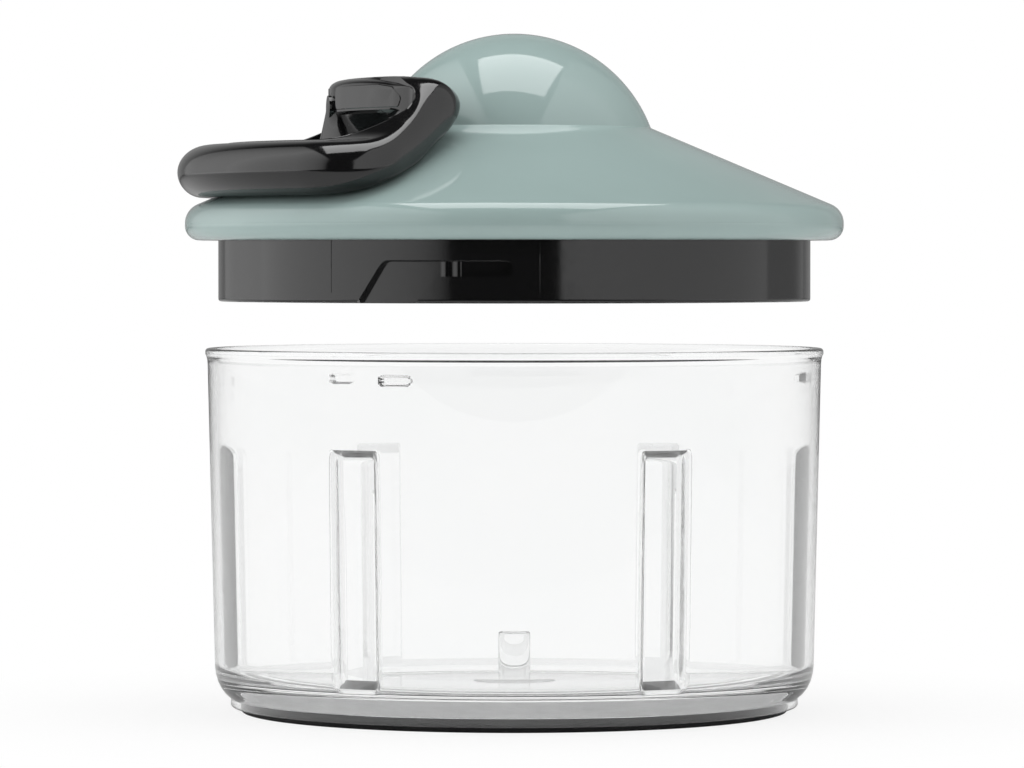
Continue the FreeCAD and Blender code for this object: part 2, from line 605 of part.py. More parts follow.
def recoil_spring():
    """Flat spiral spring in its cup: half turns about two centres, each one step wider."""
    low = CUP_LOW + CUP_FLOOR
    half = SPRING_THICKNESS / 2
    inner = SLEEVE_RADIUS + CUP_BORE_GAP + half
    outer = CUP_RADIUS - CUP_WALL - half
    half_turns = 2 * SPRING_TURNS
    step = (outer - inner) / (half_turns + 1)
    coils = []
    for index in range(half_turns):
        radius = inner + step * (index + 1)
        turned_over = index % 2
        centre = vec(step * turned_over, 0, low)
        coil = Part.makeCylinder(radius + half, SPRING_HEIGHT, centre, vec(0, 0, 1), FULL / 2).cut(
            Part.makeCylinder(radius - half, SPRING_HEIGHT, centre))
        coil.rotate(centre, vec(0, 0, 1), FULL / 2 * turned_over)
        coils.append(coil)
    return coils[0].fuse(coils[1:]).removeSplitter()


def pawl_carrier():
    """Hub under the reel's sleeve, with a shelf for each pawl."""
    hub = tube(CARRIER_RADIUS, REEL_BORE, CARRIER_LOW, SLEEVE_LOW)
    return hub.cut([spun(pawl_space(SOFT_GAP / 2), side * FULL / 2) for side in (0, 1)])


def pawl_space(grow):
    """Bar of one pawl, grown a little when it cuts its own seat in the carrier."""
    low = SLEEVE_LOW - PAWL_THICKNESS
    return Part.makeBox(PAWL_SPAN - DRUM_RADIUS / 2 + 2 * grow, PAWL_WIDTH + 2 * grow,
                        PAWL_THICKNESS, vec(DRUM_RADIUS / 2 - 3 * grow, REEL_BORE + 1 - grow, low))


def pawls():
    """Two pawls, folded in clear of the clutch ring's teeth."""
    limit = rod(PAWL_SPAN, CARRIER_LOW, SLEEVE_LOW)
    one = pawl_space(0).common(limit)
    return Part.makeCompound([one, spun(one, FULL / 2)])


def clutch_ring():
    """Ring with inward teeth round the pawls, on a floor that sits on the spindle."""
    body = turned([(SPINDLE_NECK, CLUTCH_FLOOR_LOW), (CLUTCH_RADIUS, CLUTCH_FLOOR_LOW),
                   (CLUTCH_RADIUS, CLUTCH_TOP), (TOOTH_ROOT, CLUTCH_TOP),
                   (TOOTH_ROOT, CLUTCH_FLOOR_TOP), (SPINDLE_NECK, CLUTCH_FLOOR_TOP)])
    step = math.radians(FULL / TOOTH_COUNT)
    root = TOOTH_ROOT + (CLUTCH_RADIUS - TOOTH_ROOT) / 2
    teeth = []
    for index in range(TOOTH_COUNT):
        start = step * index
        points = [(root * math.cos(start), root * math.sin(start)),
                  (root * math.cos(start + step / 2), root * math.sin(start + step / 2)),
                  (TOOTH_TIP * math.cos(start + step / 2), TOOTH_TIP * math.sin(start + step / 2))]
        teeth.append(slab(points, CLUTCH_FLOOR_TOP, CLUTCH_TOP))
    return body.fuse(teeth).removeSplitter()


def drive_spindle():
    """Output shaft in the lid's floor, with the hexagon socket for the blade below."""
    flange_low = BUSH_LOW - AXIAL_PLAY - SPINDLE_FLANGE
    groove_low = BUSH_TOP + AXIAL_PLAY
    body = turned([
        (0, SPINDLE_LOW), (SPINDLE_RADIUS, SPINDLE_LOW), (SPINDLE_RADIUS, flange_low),
        (SPINDLE_FLANGE_RADIUS, flange_low), (SPINDLE_FLANGE_RADIUS, flange_low + SPINDLE_FLANGE),
        (SPINDLE_RADIUS, flange_low + SPINDLE_FLANGE), (SPINDLE_RADIUS, groove_low),
        (SPINDLE_RADIUS - CLIP_GROOVE, groove_low),
        (SPINDLE_RADIUS - CLIP_GROOVE, groove_low + CLIP_THICKNESS),
        (SPINDLE_RADIUS, groove_low + CLIP_THICKNESS), (SPINDLE_RADIUS, CLUTCH_FLOOR_LOW),
        (SPINDLE_NECK, CLUTCH_FLOOR_LOW), (SPINDLE_NECK, CLUTCH_FLOOR_TOP), (0, CLUTCH_FLOOR_TOP)])
    corner = SOCKET_FLATS / math.sqrt(3)
    hexagon = [(corner * math.cos(math.radians(60 * index)), corner * math.sin(math.radians(60 * index)))
               for index in range(6)]
    socket = slab(hexagon, SPINDLE_LOW, SPINDLE_LOW + SOCKET_DEPTH)
    bore = rod(REEL_BORE, SPINDLE_LOW + SOCKET_DEPTH + SOCKET_WEB, CLUTCH_FLOOR_TOP)
    return body.cut([socket, bore])


def spindle_bushing():
    """Plain bearing of the spindle, in the lid's floor."""
    return tube(BUSH_RADIUS, SPINDLE_RADIUS + RUNNING_FIT, BUSH_LOW, BUSH_TOP)


def spindle_seal():
    """Soft ring under the bearing's housing, round the spindle's flange."""
    return tube(BUSH_HOUSING_RADIUS, SPINDLE_FLANGE_RADIUS + AXIAL_PLAY,
                BUSH_LOW - SEAL_RING_THICKNESS, BUSH_LOW)


def retaining_clip():
    """Open spring clip in the spindle's groove, above the bearing."""
    low = BUSH_TOP + AXIAL_PLAY
    ring = tube(CLIP_RADIUS, SPINDLE_RADIUS - CLIP_GROOVE, low, low + CLIP_THICKNESS)
    gap = Part.makeCylinder(CLIP_RADIUS, CLIP_THICKNESS, vec(0, 0, low), vec(0, 0, 1), CLIP_GAP_DEGREES)
    return ring.cut(gap)


def cord_eyelet():
    """Smooth guide in the dome where the cord comes out."""
    body = along(EYELET_RADIUS, EYELET_INNER, EYELET_OUTER, CORD_HEIGHT).fuse(
        along(EYELET_FLANGE_RADIUS, EYELET_OUTER - EYELET_FLANGE, EYELET_OUTER, CORD_HEIGHT))
    body = body.removeSplitter().cut(along(CORD_BORE, EYELET_INNER, EYELET_OUTER, CORD_HEIGHT))
    lips = [edge for edge in body.Edges if isinstance(edge.Curve, Part.Circle)
            and abs(edge.Curve.Radius - CORD_BORE) < NEAR]
    return spun(body.makeFillet(EYELET_ROUND, lips), PULL_AZIMUTH)


def cord_lead():
    """Cord from the winding, over the eyelet's lip, and straight on into the handle."""
    leave = WINDING_RADIUS + CORD_RADIUS + WINDING_GAP
    angle = math.acos(leave / CORD_BEND_AT)
    start = vec(leave * math.cos(angle), leave * math.sin(angle), CORD_HEIGHT)
    corner = vec(CORD_BEND_AT, 0, CORD_HEIGHT)
    end = vec(KNOT_SEAT - SOFT_GAP, 0, CORD_HEIGHT)
    inward = (start - corner).normalize()
    outward = (end - corner).normalize()
    turn = math.pi - inward.getAngle(outward)
    reach = CORD_BEND * math.tan(turn / 2)
    first = corner + inward * reach
    last = corner + outward * reach
    bisector = (inward + outward).normalize()
    middle = corner + bisector * (CORD_BEND / math.cos(turn / 2) - CORD_BEND)
    path = Part.Wire([Part.makeLine(start, first), Part.Arc(first, middle, last).toShape(),
                      Part.makeLine(last, end)])
    section = Part.Wire([Part.makeCircle(CORD_RADIUS, start, inward)])
    return spun(path.makePipeShell([section], True, False), PULL_AZIMUTH)


def handle_space():
    """Solid of revolution that the handle lies in: the cone's slope below, arch and grip above."""
    inner = CREASE_RADIUS - LID_CLEARANCE
    outer = HANDLE_RADIUS + GRIP_END_ROUND
    space = turned([(inner, cone_height(inner) + LID_CLEARANCE), (LEVEL_RADIUS, HANDLE_LOW),
                    (outer, HANDLE_LOW), (outer, GRIP_TOP), (GRIP_EDGE_RADIUS, GRIP_TOP),
                    (ARCH_EDGE_RADIUS, ARCH_TOP), (inner, ARCH_TOP)])
    space = round_circle(space, ARCH_EDGE_RADIUS, ARCH_TOP, ARCH_BLEND)
    space = round_circle(space, LEVEL_RADIUS, HANDLE_LOW, UNDERSIDE_BLEND)
    return round_circle(space, GRIP_EDGE_RADIUS, GRIP_TOP, GRIP_BLEND)


def line_meets_circle(centre, radius):
    """Where an arm's back, y = x + ARM_OFFSET, leaves a circle whose centre is on the pull line."""
    half = (ARM_OFFSET - centre) / 2
    across = math.sqrt(radius ** 2 / 2 - (ARM_OFFSET + centre) ** 2 / 4)
    return across - half, across - half + ARM_OFFSET


def handle_outline():
    """Prism over the handle's plan, from the grip's outer edge to the arch's dome side."""
    hug_centre = ARCH_APEX - ARCH_HUG_RADIUS
    grip_x, grip_y = line_meets_circle(0.0, HANDLE_RADIUS)
    arch_x, arch_y = line_meets_circle(hug_centre, ARCH_HUG_RADIUS)
    plan = slab([(grip_x, -grip_y), ((HANDLE_RADIUS, 0), (grip_x, grip_y)), (arch_x, arch_y),
                 ((ARCH_APEX, 0), (arch_x, -arch_y))], 0, DOME_TOP)
    corners = []
    for side in (-1, 1):
        corners.append((grip_x, side * grip_y, GRIP_END_ROUND))
        corners.append((arch_x, side * arch_y, ARCH_END_ROUND))
    return round_upright(plan, corners)


def finger_gap():
    """Cutter of the opening between the arch and the grip."""
    face_centre = ARCH_FACE - ARCH_FACE_CURVE
    grip_x = math.sqrt(GRIP_INNER_RADIUS ** 2 - ARM_INNER ** 2)
    arch_x = face_centre + math.sqrt(ARCH_FACE_CURVE ** 2 - ARM_INNER ** 2)
    gap = slab([(grip_x, -ARM_INNER), ((GRIP_INNER_RADIUS, 0), (grip_x, ARM_INNER)),
                (arch_x, ARM_INNER), ((ARCH_FACE, 0), (arch_x, -ARM_INNER))],
               0, DOME_TOP)
    corners = []
    for side in (-1, 1):
        corners.append((grip_x, side * ARM_INNER, GAP_GRIP_ROUND))
        corners.append((arch_x, side * ARM_INNER, GAP_END_ROUND))
    return round_upright(gap, corners)


def handle_hub():
    """Spine on the arch's face with a flared foot; the cord's knot sits in it."""
    inner = ARCH_APEX + ARCH_THICKNESS / 2
    sections = []
    for height, half, outer in ((GRIP_TOP, HUB_FOOT_HALF_WIDTH, ARCH_FACE + HUB_FOOT_PROUD),
                                (HUB_WAIST, HUB_TOP_HALF_WIDTH, ARCH_FACE + HUB_WAIST_PROUD),
                                (ARCH_TOP, HUB_TOP_HALF_WIDTH, ARCH_FACE - HUB_TOP_INSET)):
        sections.append(Part.makePolygon([
            vec(inner, -half, height), vec(outer, -half, height), vec(outer, half, height),
            vec(inner, half, height), vec(inner, -half, height)]))
    return Part.makeLoft(sections, True, True)


def panel(grow, sunk):
    """One flat panel of the arch's face, or its seat when grown, on the +Y side."""
    centre = ARCH_FACE - ARCH_FACE_CURVE
    start = math.asin((PANEL_FROM - grow) / ARCH_FACE_CURVE)
    end = math.asin((PANEL_TO + grow) / ARCH_FACE_CURVE)

    def at(radius, angle):
        return centre + radius * math.cos(angle), radius * math.sin(angle)

    outer = ARCH_FACE_CURVE - sunk
    inner = ARCH_FACE_CURVE - PANEL_THICKNESS - PANEL_SUNK
    middle = (start + end) / 2
    piece = slab([at(inner, start), at(outer, start), (at(outer, middle), at(outer, end)),
                  at(inner, end), (at(inner, middle), at(inner, start))],
                 PANEL_LOW - grow, PANEL_TOP + grow)
    corners = [edge for edge in piece.Edges if isinstance(edge.Curve, Part.Line)
               and abs(edge.Vertexes[0].Z - edge.Vertexes[1].Z) < NEAR]
    return piece.makeFillet(PANEL_ROUND, corners)


def handle_shell():
    """Black loop handle: the arch round the dome, two arms and the grip over the lid's rim."""
    plan = handle_outline()
    sides = Part.Shell([face for face in plan.Faces if abs(face.normalAt(0, 0).z) < NEAR])
    body = plan.common(handle_space())
    edges = []
    for edge in body.Edges:
        middle = edge.valueAt((edge.FirstParameter + edge.LastParameter) / 2)
        ends = [vertex.Point for vertex in edge.Vertexes]
        level = all(math.hypot(end.x - middle.x, end.y - middle.y) > NEAR for end in ends)
        if level and sides.distToShape(Part.Vertex(middle))[0] < NEAR:
            edges.append(edge)
    body = body.makeFillet(HANDLE_ROUND, edges)
    hub = handle_hub().common(handle_space())
    body = body.cut(finger_gap()).fuse(hub).removeSplitter()
    bore = along(CORD_BORE, 0, KNOT_SEAT, CORD_HEIGHT)
    pocket = along(KNOT_POCKET_RADIUS, KNOT_SEAT, HANDLE_RADIUS - GRIP_END_ROUND, CORD_HEIGHT)
    cuts = [bore, pocket] + both_sides(panel(SEAM, -PANEL_THICKNESS))
    return spun(body.cut(cuts), PULL_AZIMUTH)


def handle_insert():
    """Two flat panels let into the arch's face, one on each side of the spine."""
    return spun(Part.makeCompound(both_sides(panel(0, PANEL_SUNK))), PULL_AZIMUTH)


def cord_knot():
    """Knotted end of the cord, in its pocket in the handle."""
    knot = Part.makeSphere(KNOT_RADIUS, vec(KNOT_SEAT + KNOT_RADIUS, 0, CORD_HEIGHT))
    return spun(knot, PULL_AZIMUTH)


def handle_plug():
    """Plug that closes the knot's pocket."""
    return spun(along(KNOT_POCKET_RADIUS, PLUG_INNER, PLUG_OUTER, CORD_HEIGHT), PULL_AZIMUTH)


BOWL_PIECES = (bowl, base_ring)
LID_PIECES = (lid_shell, lid_collar, lid_seal, lid_screws, cord_eyelet, cord_lead, reel_axle, reel,
              cord_winding, spring_cup, spring_cover, cup_screws, recoil_spring, pawl_carrier, pawls,
              clutch_ring, drive_spindle, spindle_bushing, spindle_seal, retaining_clip, handle_shell,
              handle_insert, cord_knot, handle_plug)

os.makedirs("parts", exist_ok=True)
for piece in BOWL_PIECES + LID_PIECES:
    solid = piece()
    if piece in LID_PIECES:
        solid.translate(vec(0, 0, LID_HEIGHT))
    solid.exportStep("parts/" + piece.__name__ + ".step")
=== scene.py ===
import json
import math

import bmesh
import bpy
from mathutils import Matrix, Quaternion, Vector
from mathutils.kdtree import KDTree

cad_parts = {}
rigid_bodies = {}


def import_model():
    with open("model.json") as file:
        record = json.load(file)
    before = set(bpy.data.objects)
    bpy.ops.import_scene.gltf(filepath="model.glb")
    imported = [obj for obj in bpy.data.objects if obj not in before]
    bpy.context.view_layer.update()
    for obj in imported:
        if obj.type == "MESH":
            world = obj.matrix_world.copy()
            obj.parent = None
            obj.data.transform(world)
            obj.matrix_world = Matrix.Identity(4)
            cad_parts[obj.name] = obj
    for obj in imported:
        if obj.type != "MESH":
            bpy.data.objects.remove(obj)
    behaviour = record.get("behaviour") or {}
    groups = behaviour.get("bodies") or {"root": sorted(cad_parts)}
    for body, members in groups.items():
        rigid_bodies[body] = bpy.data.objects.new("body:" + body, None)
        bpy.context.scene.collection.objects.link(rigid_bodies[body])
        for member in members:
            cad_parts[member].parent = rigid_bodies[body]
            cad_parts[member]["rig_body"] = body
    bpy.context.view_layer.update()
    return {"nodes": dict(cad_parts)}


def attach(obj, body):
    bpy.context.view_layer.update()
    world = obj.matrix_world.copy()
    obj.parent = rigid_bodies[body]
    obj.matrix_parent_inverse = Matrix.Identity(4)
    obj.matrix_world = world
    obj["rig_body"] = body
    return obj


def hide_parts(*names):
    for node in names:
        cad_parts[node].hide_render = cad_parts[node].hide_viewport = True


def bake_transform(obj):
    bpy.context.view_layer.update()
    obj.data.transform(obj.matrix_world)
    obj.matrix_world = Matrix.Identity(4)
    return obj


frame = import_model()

# ---- The studio -------------------------------------------------------------------------------
# A plain white table under one large softbox, with two tall softboxes on each side and nothing
# lit in front, so that gloss plastic has a dark middle and grey flanks, and clear plastic has
# grey edges.
EYE_DISTANCE = 1.2
EYE_HEIGHT = 0.0974
EYE_OFFSET = -0.0005
LOOK_DOWN = 1.31          # degrees
LENS = 197.0              # millimetres, on a sensor 36 wide
PLAIN_LIGHT = 0.16        # brightness of the air for all that isn't mirrored or seen through
TABLE_SIZE = 3.6
TABLE_FRONT = 0.5         # how far the table reaches towards the front
TABLE_WHITE = (0.93, 0.93, 0.93)
SHADE_SPAN = (0.066, 0.15)  # distances over which the shade under the object fades out
SHADE_GLOW = 0.8          # share of the table's glow within its shade
MIRROR_LOSS = 0.3         # share of the table's light that its reflections lack

scene = bpy.context.scene
scene.view_settings.view_transform = "Standard"

camera_data = bpy.data.cameras.new("camera")
camera_data.lens = LENS
camera_data.sensor_width = 36.0
camera_data.clip_start = 0.05
camera_data.clip_end = 30.0
camera = bpy.data.objects.new("camera", camera_data)
camera.location = (EYE_OFFSET, -EYE_DISTANCE, EYE_HEIGHT)
camera.rotation_euler = (math.radians(90.0 - LOOK_DOWN), 0.0, 0.0)
scene.collection.objects.link(camera)
scene.camera = camera


def softbox(name, place, facing, width, height, brightness, turn=0.0, ends=(1.0, 1.0, 1.0)):
    """One-sided lit panel at a place, facing a direction. Brightness 1 is paper white. Ends gives
    its share of the brightness from its right edge to its left one, as the object sees it."""
    lamp = bpy.data.lights.new(name, "AREA")
    lamp.shape = "RECTANGLE"
    lamp.size = width
    lamp.size_y = height
    lamp.energy = brightness * math.pi * width * height
    lamp.use_nodes = True
    nodes = lamp.node_tree.nodes
    links = lamp.node_tree.links
    on_panel = nodes.new("ShaderNodeNewGeometry")
    along = nodes.new("ShaderNodeSeparateXYZ")
    links.new(on_panel.outputs["Parametric"], along.inputs["Vector"])
    dimmer = nodes.new("ShaderNodeFloatCurve")
    shares = dimmer.mapping.curves[0].points
    shares[0].location.y = ends[0]
    shares[1].location.y = ends[2]
    shares.new(0.5, ends[1])
    dimmer.mapping.update()
    links.new(along.outputs["X"], dimmer.inputs["Value"])
    links.new(dimmer.outputs["Value"], nodes["Emission"].inputs["Strength"])
    panel = bpy.data.objects.new(name, lamp)
    panel.location = place
    aim = (-Vector(facing)).to_track_quat("Z", "Y")
    panel.rotation_euler = (aim @ Quaternion((0, 0, 1), math.radians(turn))).to_euler()
    panel.visible_camera = False
    panel.visible_transmission = False
    scene.collection.objects.link(panel)


softbox("overhead_softbox", (0.035, 0.07, 1.15), (0, 0, -1), 0.76, 0.82, 3.2, -5.0)
softbox("left_softbox", (-1.0, -0.9, 1.15), (1, 0, 0), 2.6, 2.3, 1.25, ends=(1.0, 0.78, 0.1))
softbox("left_back_softbox", (-1.0, 1.1, 1.15), (1, 0, 0), 1.4, 2.3, 1.2, ends=(0.2, 0.5, 0.95))
softbox("right_softbox", (1.0, -1.4, 1.15), (-1, 0, 0), 3.6, 2.3, 0.88, ends=(1.0, 1.0, 0.75))
softbox("right_back_softbox", (1.0, 1.05, 1.15), (-1, 0, 0), 1.3, 2.3, 0.72, ends=(0.55, 0.3, 0.25))

world = bpy.data.worlds.new("studio")
scene.world = world
world.use_nodes = True
air = world.node_tree
direction = air.nodes.new("ShaderNodeTexCoord")
split = air.nodes.new("ShaderNodeSeparateXYZ")
air.links.new(direction.outputs["Generated"], split.inputs["Vector"])
ray = air.nodes.new("ShaderNodeLightPath")


def backdrop(start, end, dark, light):
    """Brightness that rises from dark to light as a ray turns from the front to the back wall."""
    rise = air.nodes.new("ShaderNodeMapRange")
    rise.interpolation_type = "SMOOTHSTEP"
    rise.inputs["From Min"].default_value = start
    rise.inputs["From Max"].default_value = end
    rise.inputs["To Min"].default_value = dark
    rise.inputs["To Max"].default_value = light
    air.links.new(split.outputs["Y"], rise.inputs["Value"])
    return rise.outputs["Result"]


def chosen(flag, otherwise, kind):
    """A brightness for one kind of ray, and otherwise another."""
    mix = air.nodes.new("ShaderNodeMix")
    air.links.new(ray.outputs[flag], mix.inputs["Factor"])
    for socket, value in (("A", otherwise), ("B", kind)):
        if isinstance(value, float):
            mix.inputs[socket].default_value = value
        else:
            air.links.new(value, mix.inputs[socket])
    return mix.outputs["Result"]


level = chosen("Is Glossy Ray", PLAIN_LIGHT, backdrop(0.72, 0.97, 0.02, 0.3))
level = chosen("Is Transmission Ray", level, backdrop(-0.3, 0.75, 0.78, 1.0))
level = chosen("Is Camera Ray", level, 1.0)
air.links.new(level, air.nodes["Background"].inputs["Strength"])
air.nodes["Background"].inputs["Color"].default_value = (1, 1, 1, 1)

table_mesh = bmesh.new()
bmesh.ops.create_grid(table_mesh, x_segments=8, y_segments=8, size=TABLE_SIZE / 2)
bmesh.ops.translate(table_mesh, vec=(0, TABLE_SIZE / 2 - TABLE_FRONT, 0), verts=table_mesh.verts)
table_data = bpy.data.meshes.new("table")
table_mesh.to_mesh(table_data)
table_mesh.free()
table = bpy.data.objects.new("table", table_data)
scene.collection.objects.link(table)
paper = bpy.data.materials.new("table_white")
paper.use_nodes = True
nodes = paper.node_tree.nodes
links = paper.node_tree.links
matt = nodes["Principled BSDF"]
matt.inputs["Base Color"].default_value = (*TABLE_WHITE, 1)
matt.inputs["Roughness"].default_value = 0.9
matt.inputs["Specular IOR Level"].default_value = 0.1

# It glows where it is seen directly or through the bowl, and less so in the object's shade.
seen = nodes.new("ShaderNodeLightPath")
direct = nodes.new("ShaderNodeMath")
direct.operation = "MAXIMUM"
links.new(seen.outputs["Is Camera Ray"], direct.inputs[0])
links.new(seen.outputs["Is Transmission Ray"], direct.inputs[1])
spot = nodes.new("ShaderNodeTexCoord")
apart = nodes.new("ShaderNodeVectorMath")
apart.operation = "LENGTH"
links.new(spot.outputs["Object"], apart.inputs[0])
fade = nodes.new("ShaderNodeMapRange")
fade.inputs["From Min"].default_value = SHADE_SPAN[0]
fade.inputs["From Max"].default_value = SHADE_SPAN[1]
fade.inputs["To Min"].default_value = SHADE_GLOW
links.new(apart.outputs["Value"], fade.inputs["Value"])
share = nodes.new("ShaderNodeMath")
share.operation = "MULTIPLY"
links.new(direct.outputs[0], share.inputs[0])
links.new(fade.outputs["Result"], share.inputs[1])
glow = nodes.new("ShaderNodeEmission")
links.new(direct.outputs[0], glow.inputs["Strength"])

# In a reflection the glow is out, and covers a share of the lit table.
mirrored = nodes.new("ShaderNodeMath")
mirrored.operation = "MULTIPLY_ADD"
mirrored.inputs[1].default_value = MIRROR_LOSS
links.new(seen.outputs["Is Glossy Ray"], mirrored.inputs[0])
links.new(share.outputs[0], mirrored.inputs[2])
cover = nodes.new("ShaderNodeMixShader")
links.new(mirrored.outputs[0], cover.inputs["Fac"])
links.new(matt.outputs[0], cover.inputs[1])
links.new(glow.outputs[0], cover.inputs[2])
links.new(cover.outputs[0], nodes["Material Output"].inputs["Surface"])
table_data.materials.append(paper)

# ---- Bowl -------------------------------------------------------------------------------------
# One injection moulding in clear plastic: a slightly tapered wall with a lip, six boxy ribs that
# stop the food from spinning, three bayonet lugs, and a floor with the blade's pin on its boss.
# Its underside is satin, and the drawn sides of the ribs are a little hazy. Sizes in millimetres.
MM = 0.001
FULL_TURN = 2.0 * math.pi
BOWL_STEPS = 900
BOWL_HEIGHT = 77.7
BOWL_RIM_RADIUS = 65.7
BOWL_TAPER = 1.6
BOWL_WALL = 1.8
SHOULDER = 9.8
FLOOR_TOP = 7.0
UNDERSIDE = (53.5, 5.0)   # radius and height of the recess under the floor
CHANNEL = (56.0, 58.6)    # radii of the foot's channel for the ring
CHANNEL_TOP = 3.8
RIBS = 6
RIB_AZIMUTH = -31.0
RIB_TOP = 57.6
RIB_PROUD = 3.2
RIB_HALF = 5.7
RIB_SIDE = 1.9
RIB_ROUND = 2.6
LUGS = 3
LUG_AZIMUTH = -22.3
LUG_HEIGHT = 72.0
LUG_HALF = 2.4
LUG_ROUND = 1.2
LUG_TIP = 62.1
LUG_SOFT = 0.55
RIB_FOOT = (7.6, 10.8)    # heights between which the ribs run out into the floor's fillet
RELIEF_FROM = 50.0        # radius beyond which the inner wall gets its ribs and lugs
RELIEF_TOP = 76.0         # height below which it gets them
SHARP = math.radians(38.0)  # edges that turn more than this stay crisp


def rounded(corners, segments=3):
    """Outline of (radius, height) points, in which a corner given with a round becomes an arc."""
    outline = []
    for index, corner in enumerate(corners):
        here = Vector(corner[:2])
        if len(corner) == 2:
            outline.append(here)
            continue
        before = (Vector(corners[index - 1][:2]) - here).normalized()
        after = (Vector(corners[(index + 1) % len(corners)][:2]) - here).normalized()
        half = before.angle(after) / 2.0
        centre = here + (before + after).normalized() * corner[2] / math.sin(half)
        start = here + before * corner[2] / math.tan(half) - centre
        end = here + after * corner[2] / math.tan(half) - centre
        for step in range(segments + 1):
            outline.append(centre + start.slerp(end, step / segments).normalized() * corner[2])
    return outline


def arc(radius, height, curve, start, end, count):
    """Points of an arc about (radius, height), between two angles in degrees."""
    points = []
    for step in range(count + 1):
        angle = math.radians(start + (end - start) * step / count)
        points.append((radius + curve * math.cos(angle), height + curve * math.sin(angle)))
    return points


def lathe(outline, steps, closed=True):
    """A turned shape about Z from its outline in millimetres, with seams and poles merged."""
    turned = bmesh.new()
    ring = [turned.verts.new((point[0], 0.0, point[1])) for point in outline]
    following = ring[1:] + ring[:1] if closed else ring[1:]
    chain = [turned.edges.new(pair) for pair in zip(ring, following)]
    bmesh.ops.spin(turned, geom=ring + chain, cent=(0, 0, 0), axis=(0, 0, 1), dvec=(0, 0, 0),
                   angle=FULL_TURN, steps=steps, use_merge=True, use_duplicate=False)
    bmesh.ops.remove_doubles(turned, verts=turned.verts, dist=0.002)
    bmesh.ops.dissolve_degenerate(turned, edges=turned.edges, dist=0.001)
    return turned


def piece(name, shape, material, lift=0.0):
    """A shape in millimetres as a finished object in metres, smooth but for its sharp edges."""
    bmesh.ops.recalc_face_normals(shape, faces=shape.faces)
    bmesh.ops.scale(shape, vec=(MM, MM, MM), verts=shape.verts)
    bmesh.ops.translate(shape, vec=(0, 0, lift * MM), verts=shape.verts)
    for face in shape.faces:
        face.smooth = True
    for edge in shape.edges:
        edge.smooth = edge.calc_face_angle(0.0) < SHARP
    data = bpy.data.meshes.new(name)
    shape.to_mesh(data)
    shape.free()
    data.materials.append(material)
    made = bpy.data.objects.new(name, data)
    scene.collection.objects.link(made)
    return made


def finish(name, colours, roughness, scales, relief, sockets, stretch=(1, 1, 1)):
    """Procedural finish: two colours clouded together, gloss that varies, and a fine relief."""
    material = bpy.data.materials.new(name)
    material.use_nodes = True
    nodes = material.node_tree.nodes
    links = material.node_tree.links
    shader = nodes["Principled BSDF"]
    place = nodes.new("ShaderNodeTexCoord")
    frame_of = nodes.new("ShaderNodeMapping")
    frame_of.inputs["Scale"].default_value = stretch
    links.new(place.outputs["Object"], frame_of.inputs["Vector"])
    clouds = []
    for scale, detail in zip(scales, (3.0, 5.0)):
        cloud = nodes.new("ShaderNodeTexNoise")
        cloud.inputs["Scale"].default_value = scale
        cloud.inputs["Detail"].default_value = detail
        links.new(frame_of.outputs["Vector"], cloud.inputs["Vector"])
        clouds.append(cloud)
    tint = nodes.new("ShaderNodeValToRGB")
    for element, position, colour in zip(tint.color_ramp.elements, (0.35, 0.65), colours):
        element.position = position
        element.color = (*colour, 1)
    links.new(clouds[0].outputs["Fac"], tint.inputs["Fac"])
    links.new(tint.outputs["Color"], shader.inputs["Base Color"])
    gloss = nodes.new("ShaderNodeMapRange")
    gloss.inputs["From Min"].default_value = 0.3
    gloss.inputs["From Max"].default_value = 0.7
    gloss.inputs["To Min"].default_value = roughness[0]
    gloss.inputs["To Max"].default_value = roughness[1]
    links.new(clouds[1].outputs["Fac"], gloss.inputs["Value"])
    links.new(gloss.outputs["Result"], shader.inputs["Roughness"])
    if relief:
        bump = nodes.new("ShaderNodeBump")
        bump.inputs["Strength"].default_value = 1.0
        bump.inputs["Distance"].default_value = relief
        links.new(clouds[1].outputs["Fac"], bump.inputs["Height"])
        links.new(bump.outputs["Normal"], shader.inputs["Normal"])
    for socket, value in sockets.items():
        shader.inputs[socket].default_value = value
    return material


def ease(low, high, value):
    """0 below low, 1 above high, and a smooth step between."""
    share = min(1.0, max(0.0, (value - low) / (high - low)))
    return share * share * (3.0 - 2.0 * share)


def wall_inside(height):
    """Radius of the bowl's inner wall at a height."""
    drop = (BOWL_HEIGHT - height) / (BOWL_HEIGHT - SHOULDER)
    return BOWL_RIM_RADIUS - BOWL_TAPER * drop - BOWL_WALL


def off_nearest(azimuth, count, first):
    """Degrees from the nearest of evenly spaced features, the first at a given azimuth."""
    spacing = 360.0 / count
    return (azimuth - first + spacing / 2.0) % spacing - spacing / 2.0


def stands_in(azimuth, height):
    """How far ribs and lugs stand in from the bowl's wall at a place."""
    across = abs(math.radians(off_nearest(azimuth, RIBS, RIB_AZIMUTH))) * wall_inside(height)
    crown = max(0.0, (height - RIB_TOP + RIB_ROUND) / RIB_ROUND)
    proud = 0.0
    if crown < 1.0:
        side = 1.0 - ease(RIB_HALF - RIB_SIDE, RIB_HALF, across)
        proud = RIB_PROUD * math.sqrt(1.0 - crown * crown) * side * ease(*RIB_FOOT, height)
    along = abs(math.radians(off_nearest(azimuth, LUGS, LUG_AZIMUTH))) * wall_inside(height)
    reach = math.hypot(max(0.0, along - LUG_HALF), height - LUG_HEIGHT)
    if reach < LUG_ROUND:
        side = 1.0 - ease(LUG_ROUND - LUG_SOFT, LUG_ROUND, reach)
        proud = (wall_inside(height) - LUG_TIP) * side
    return proud


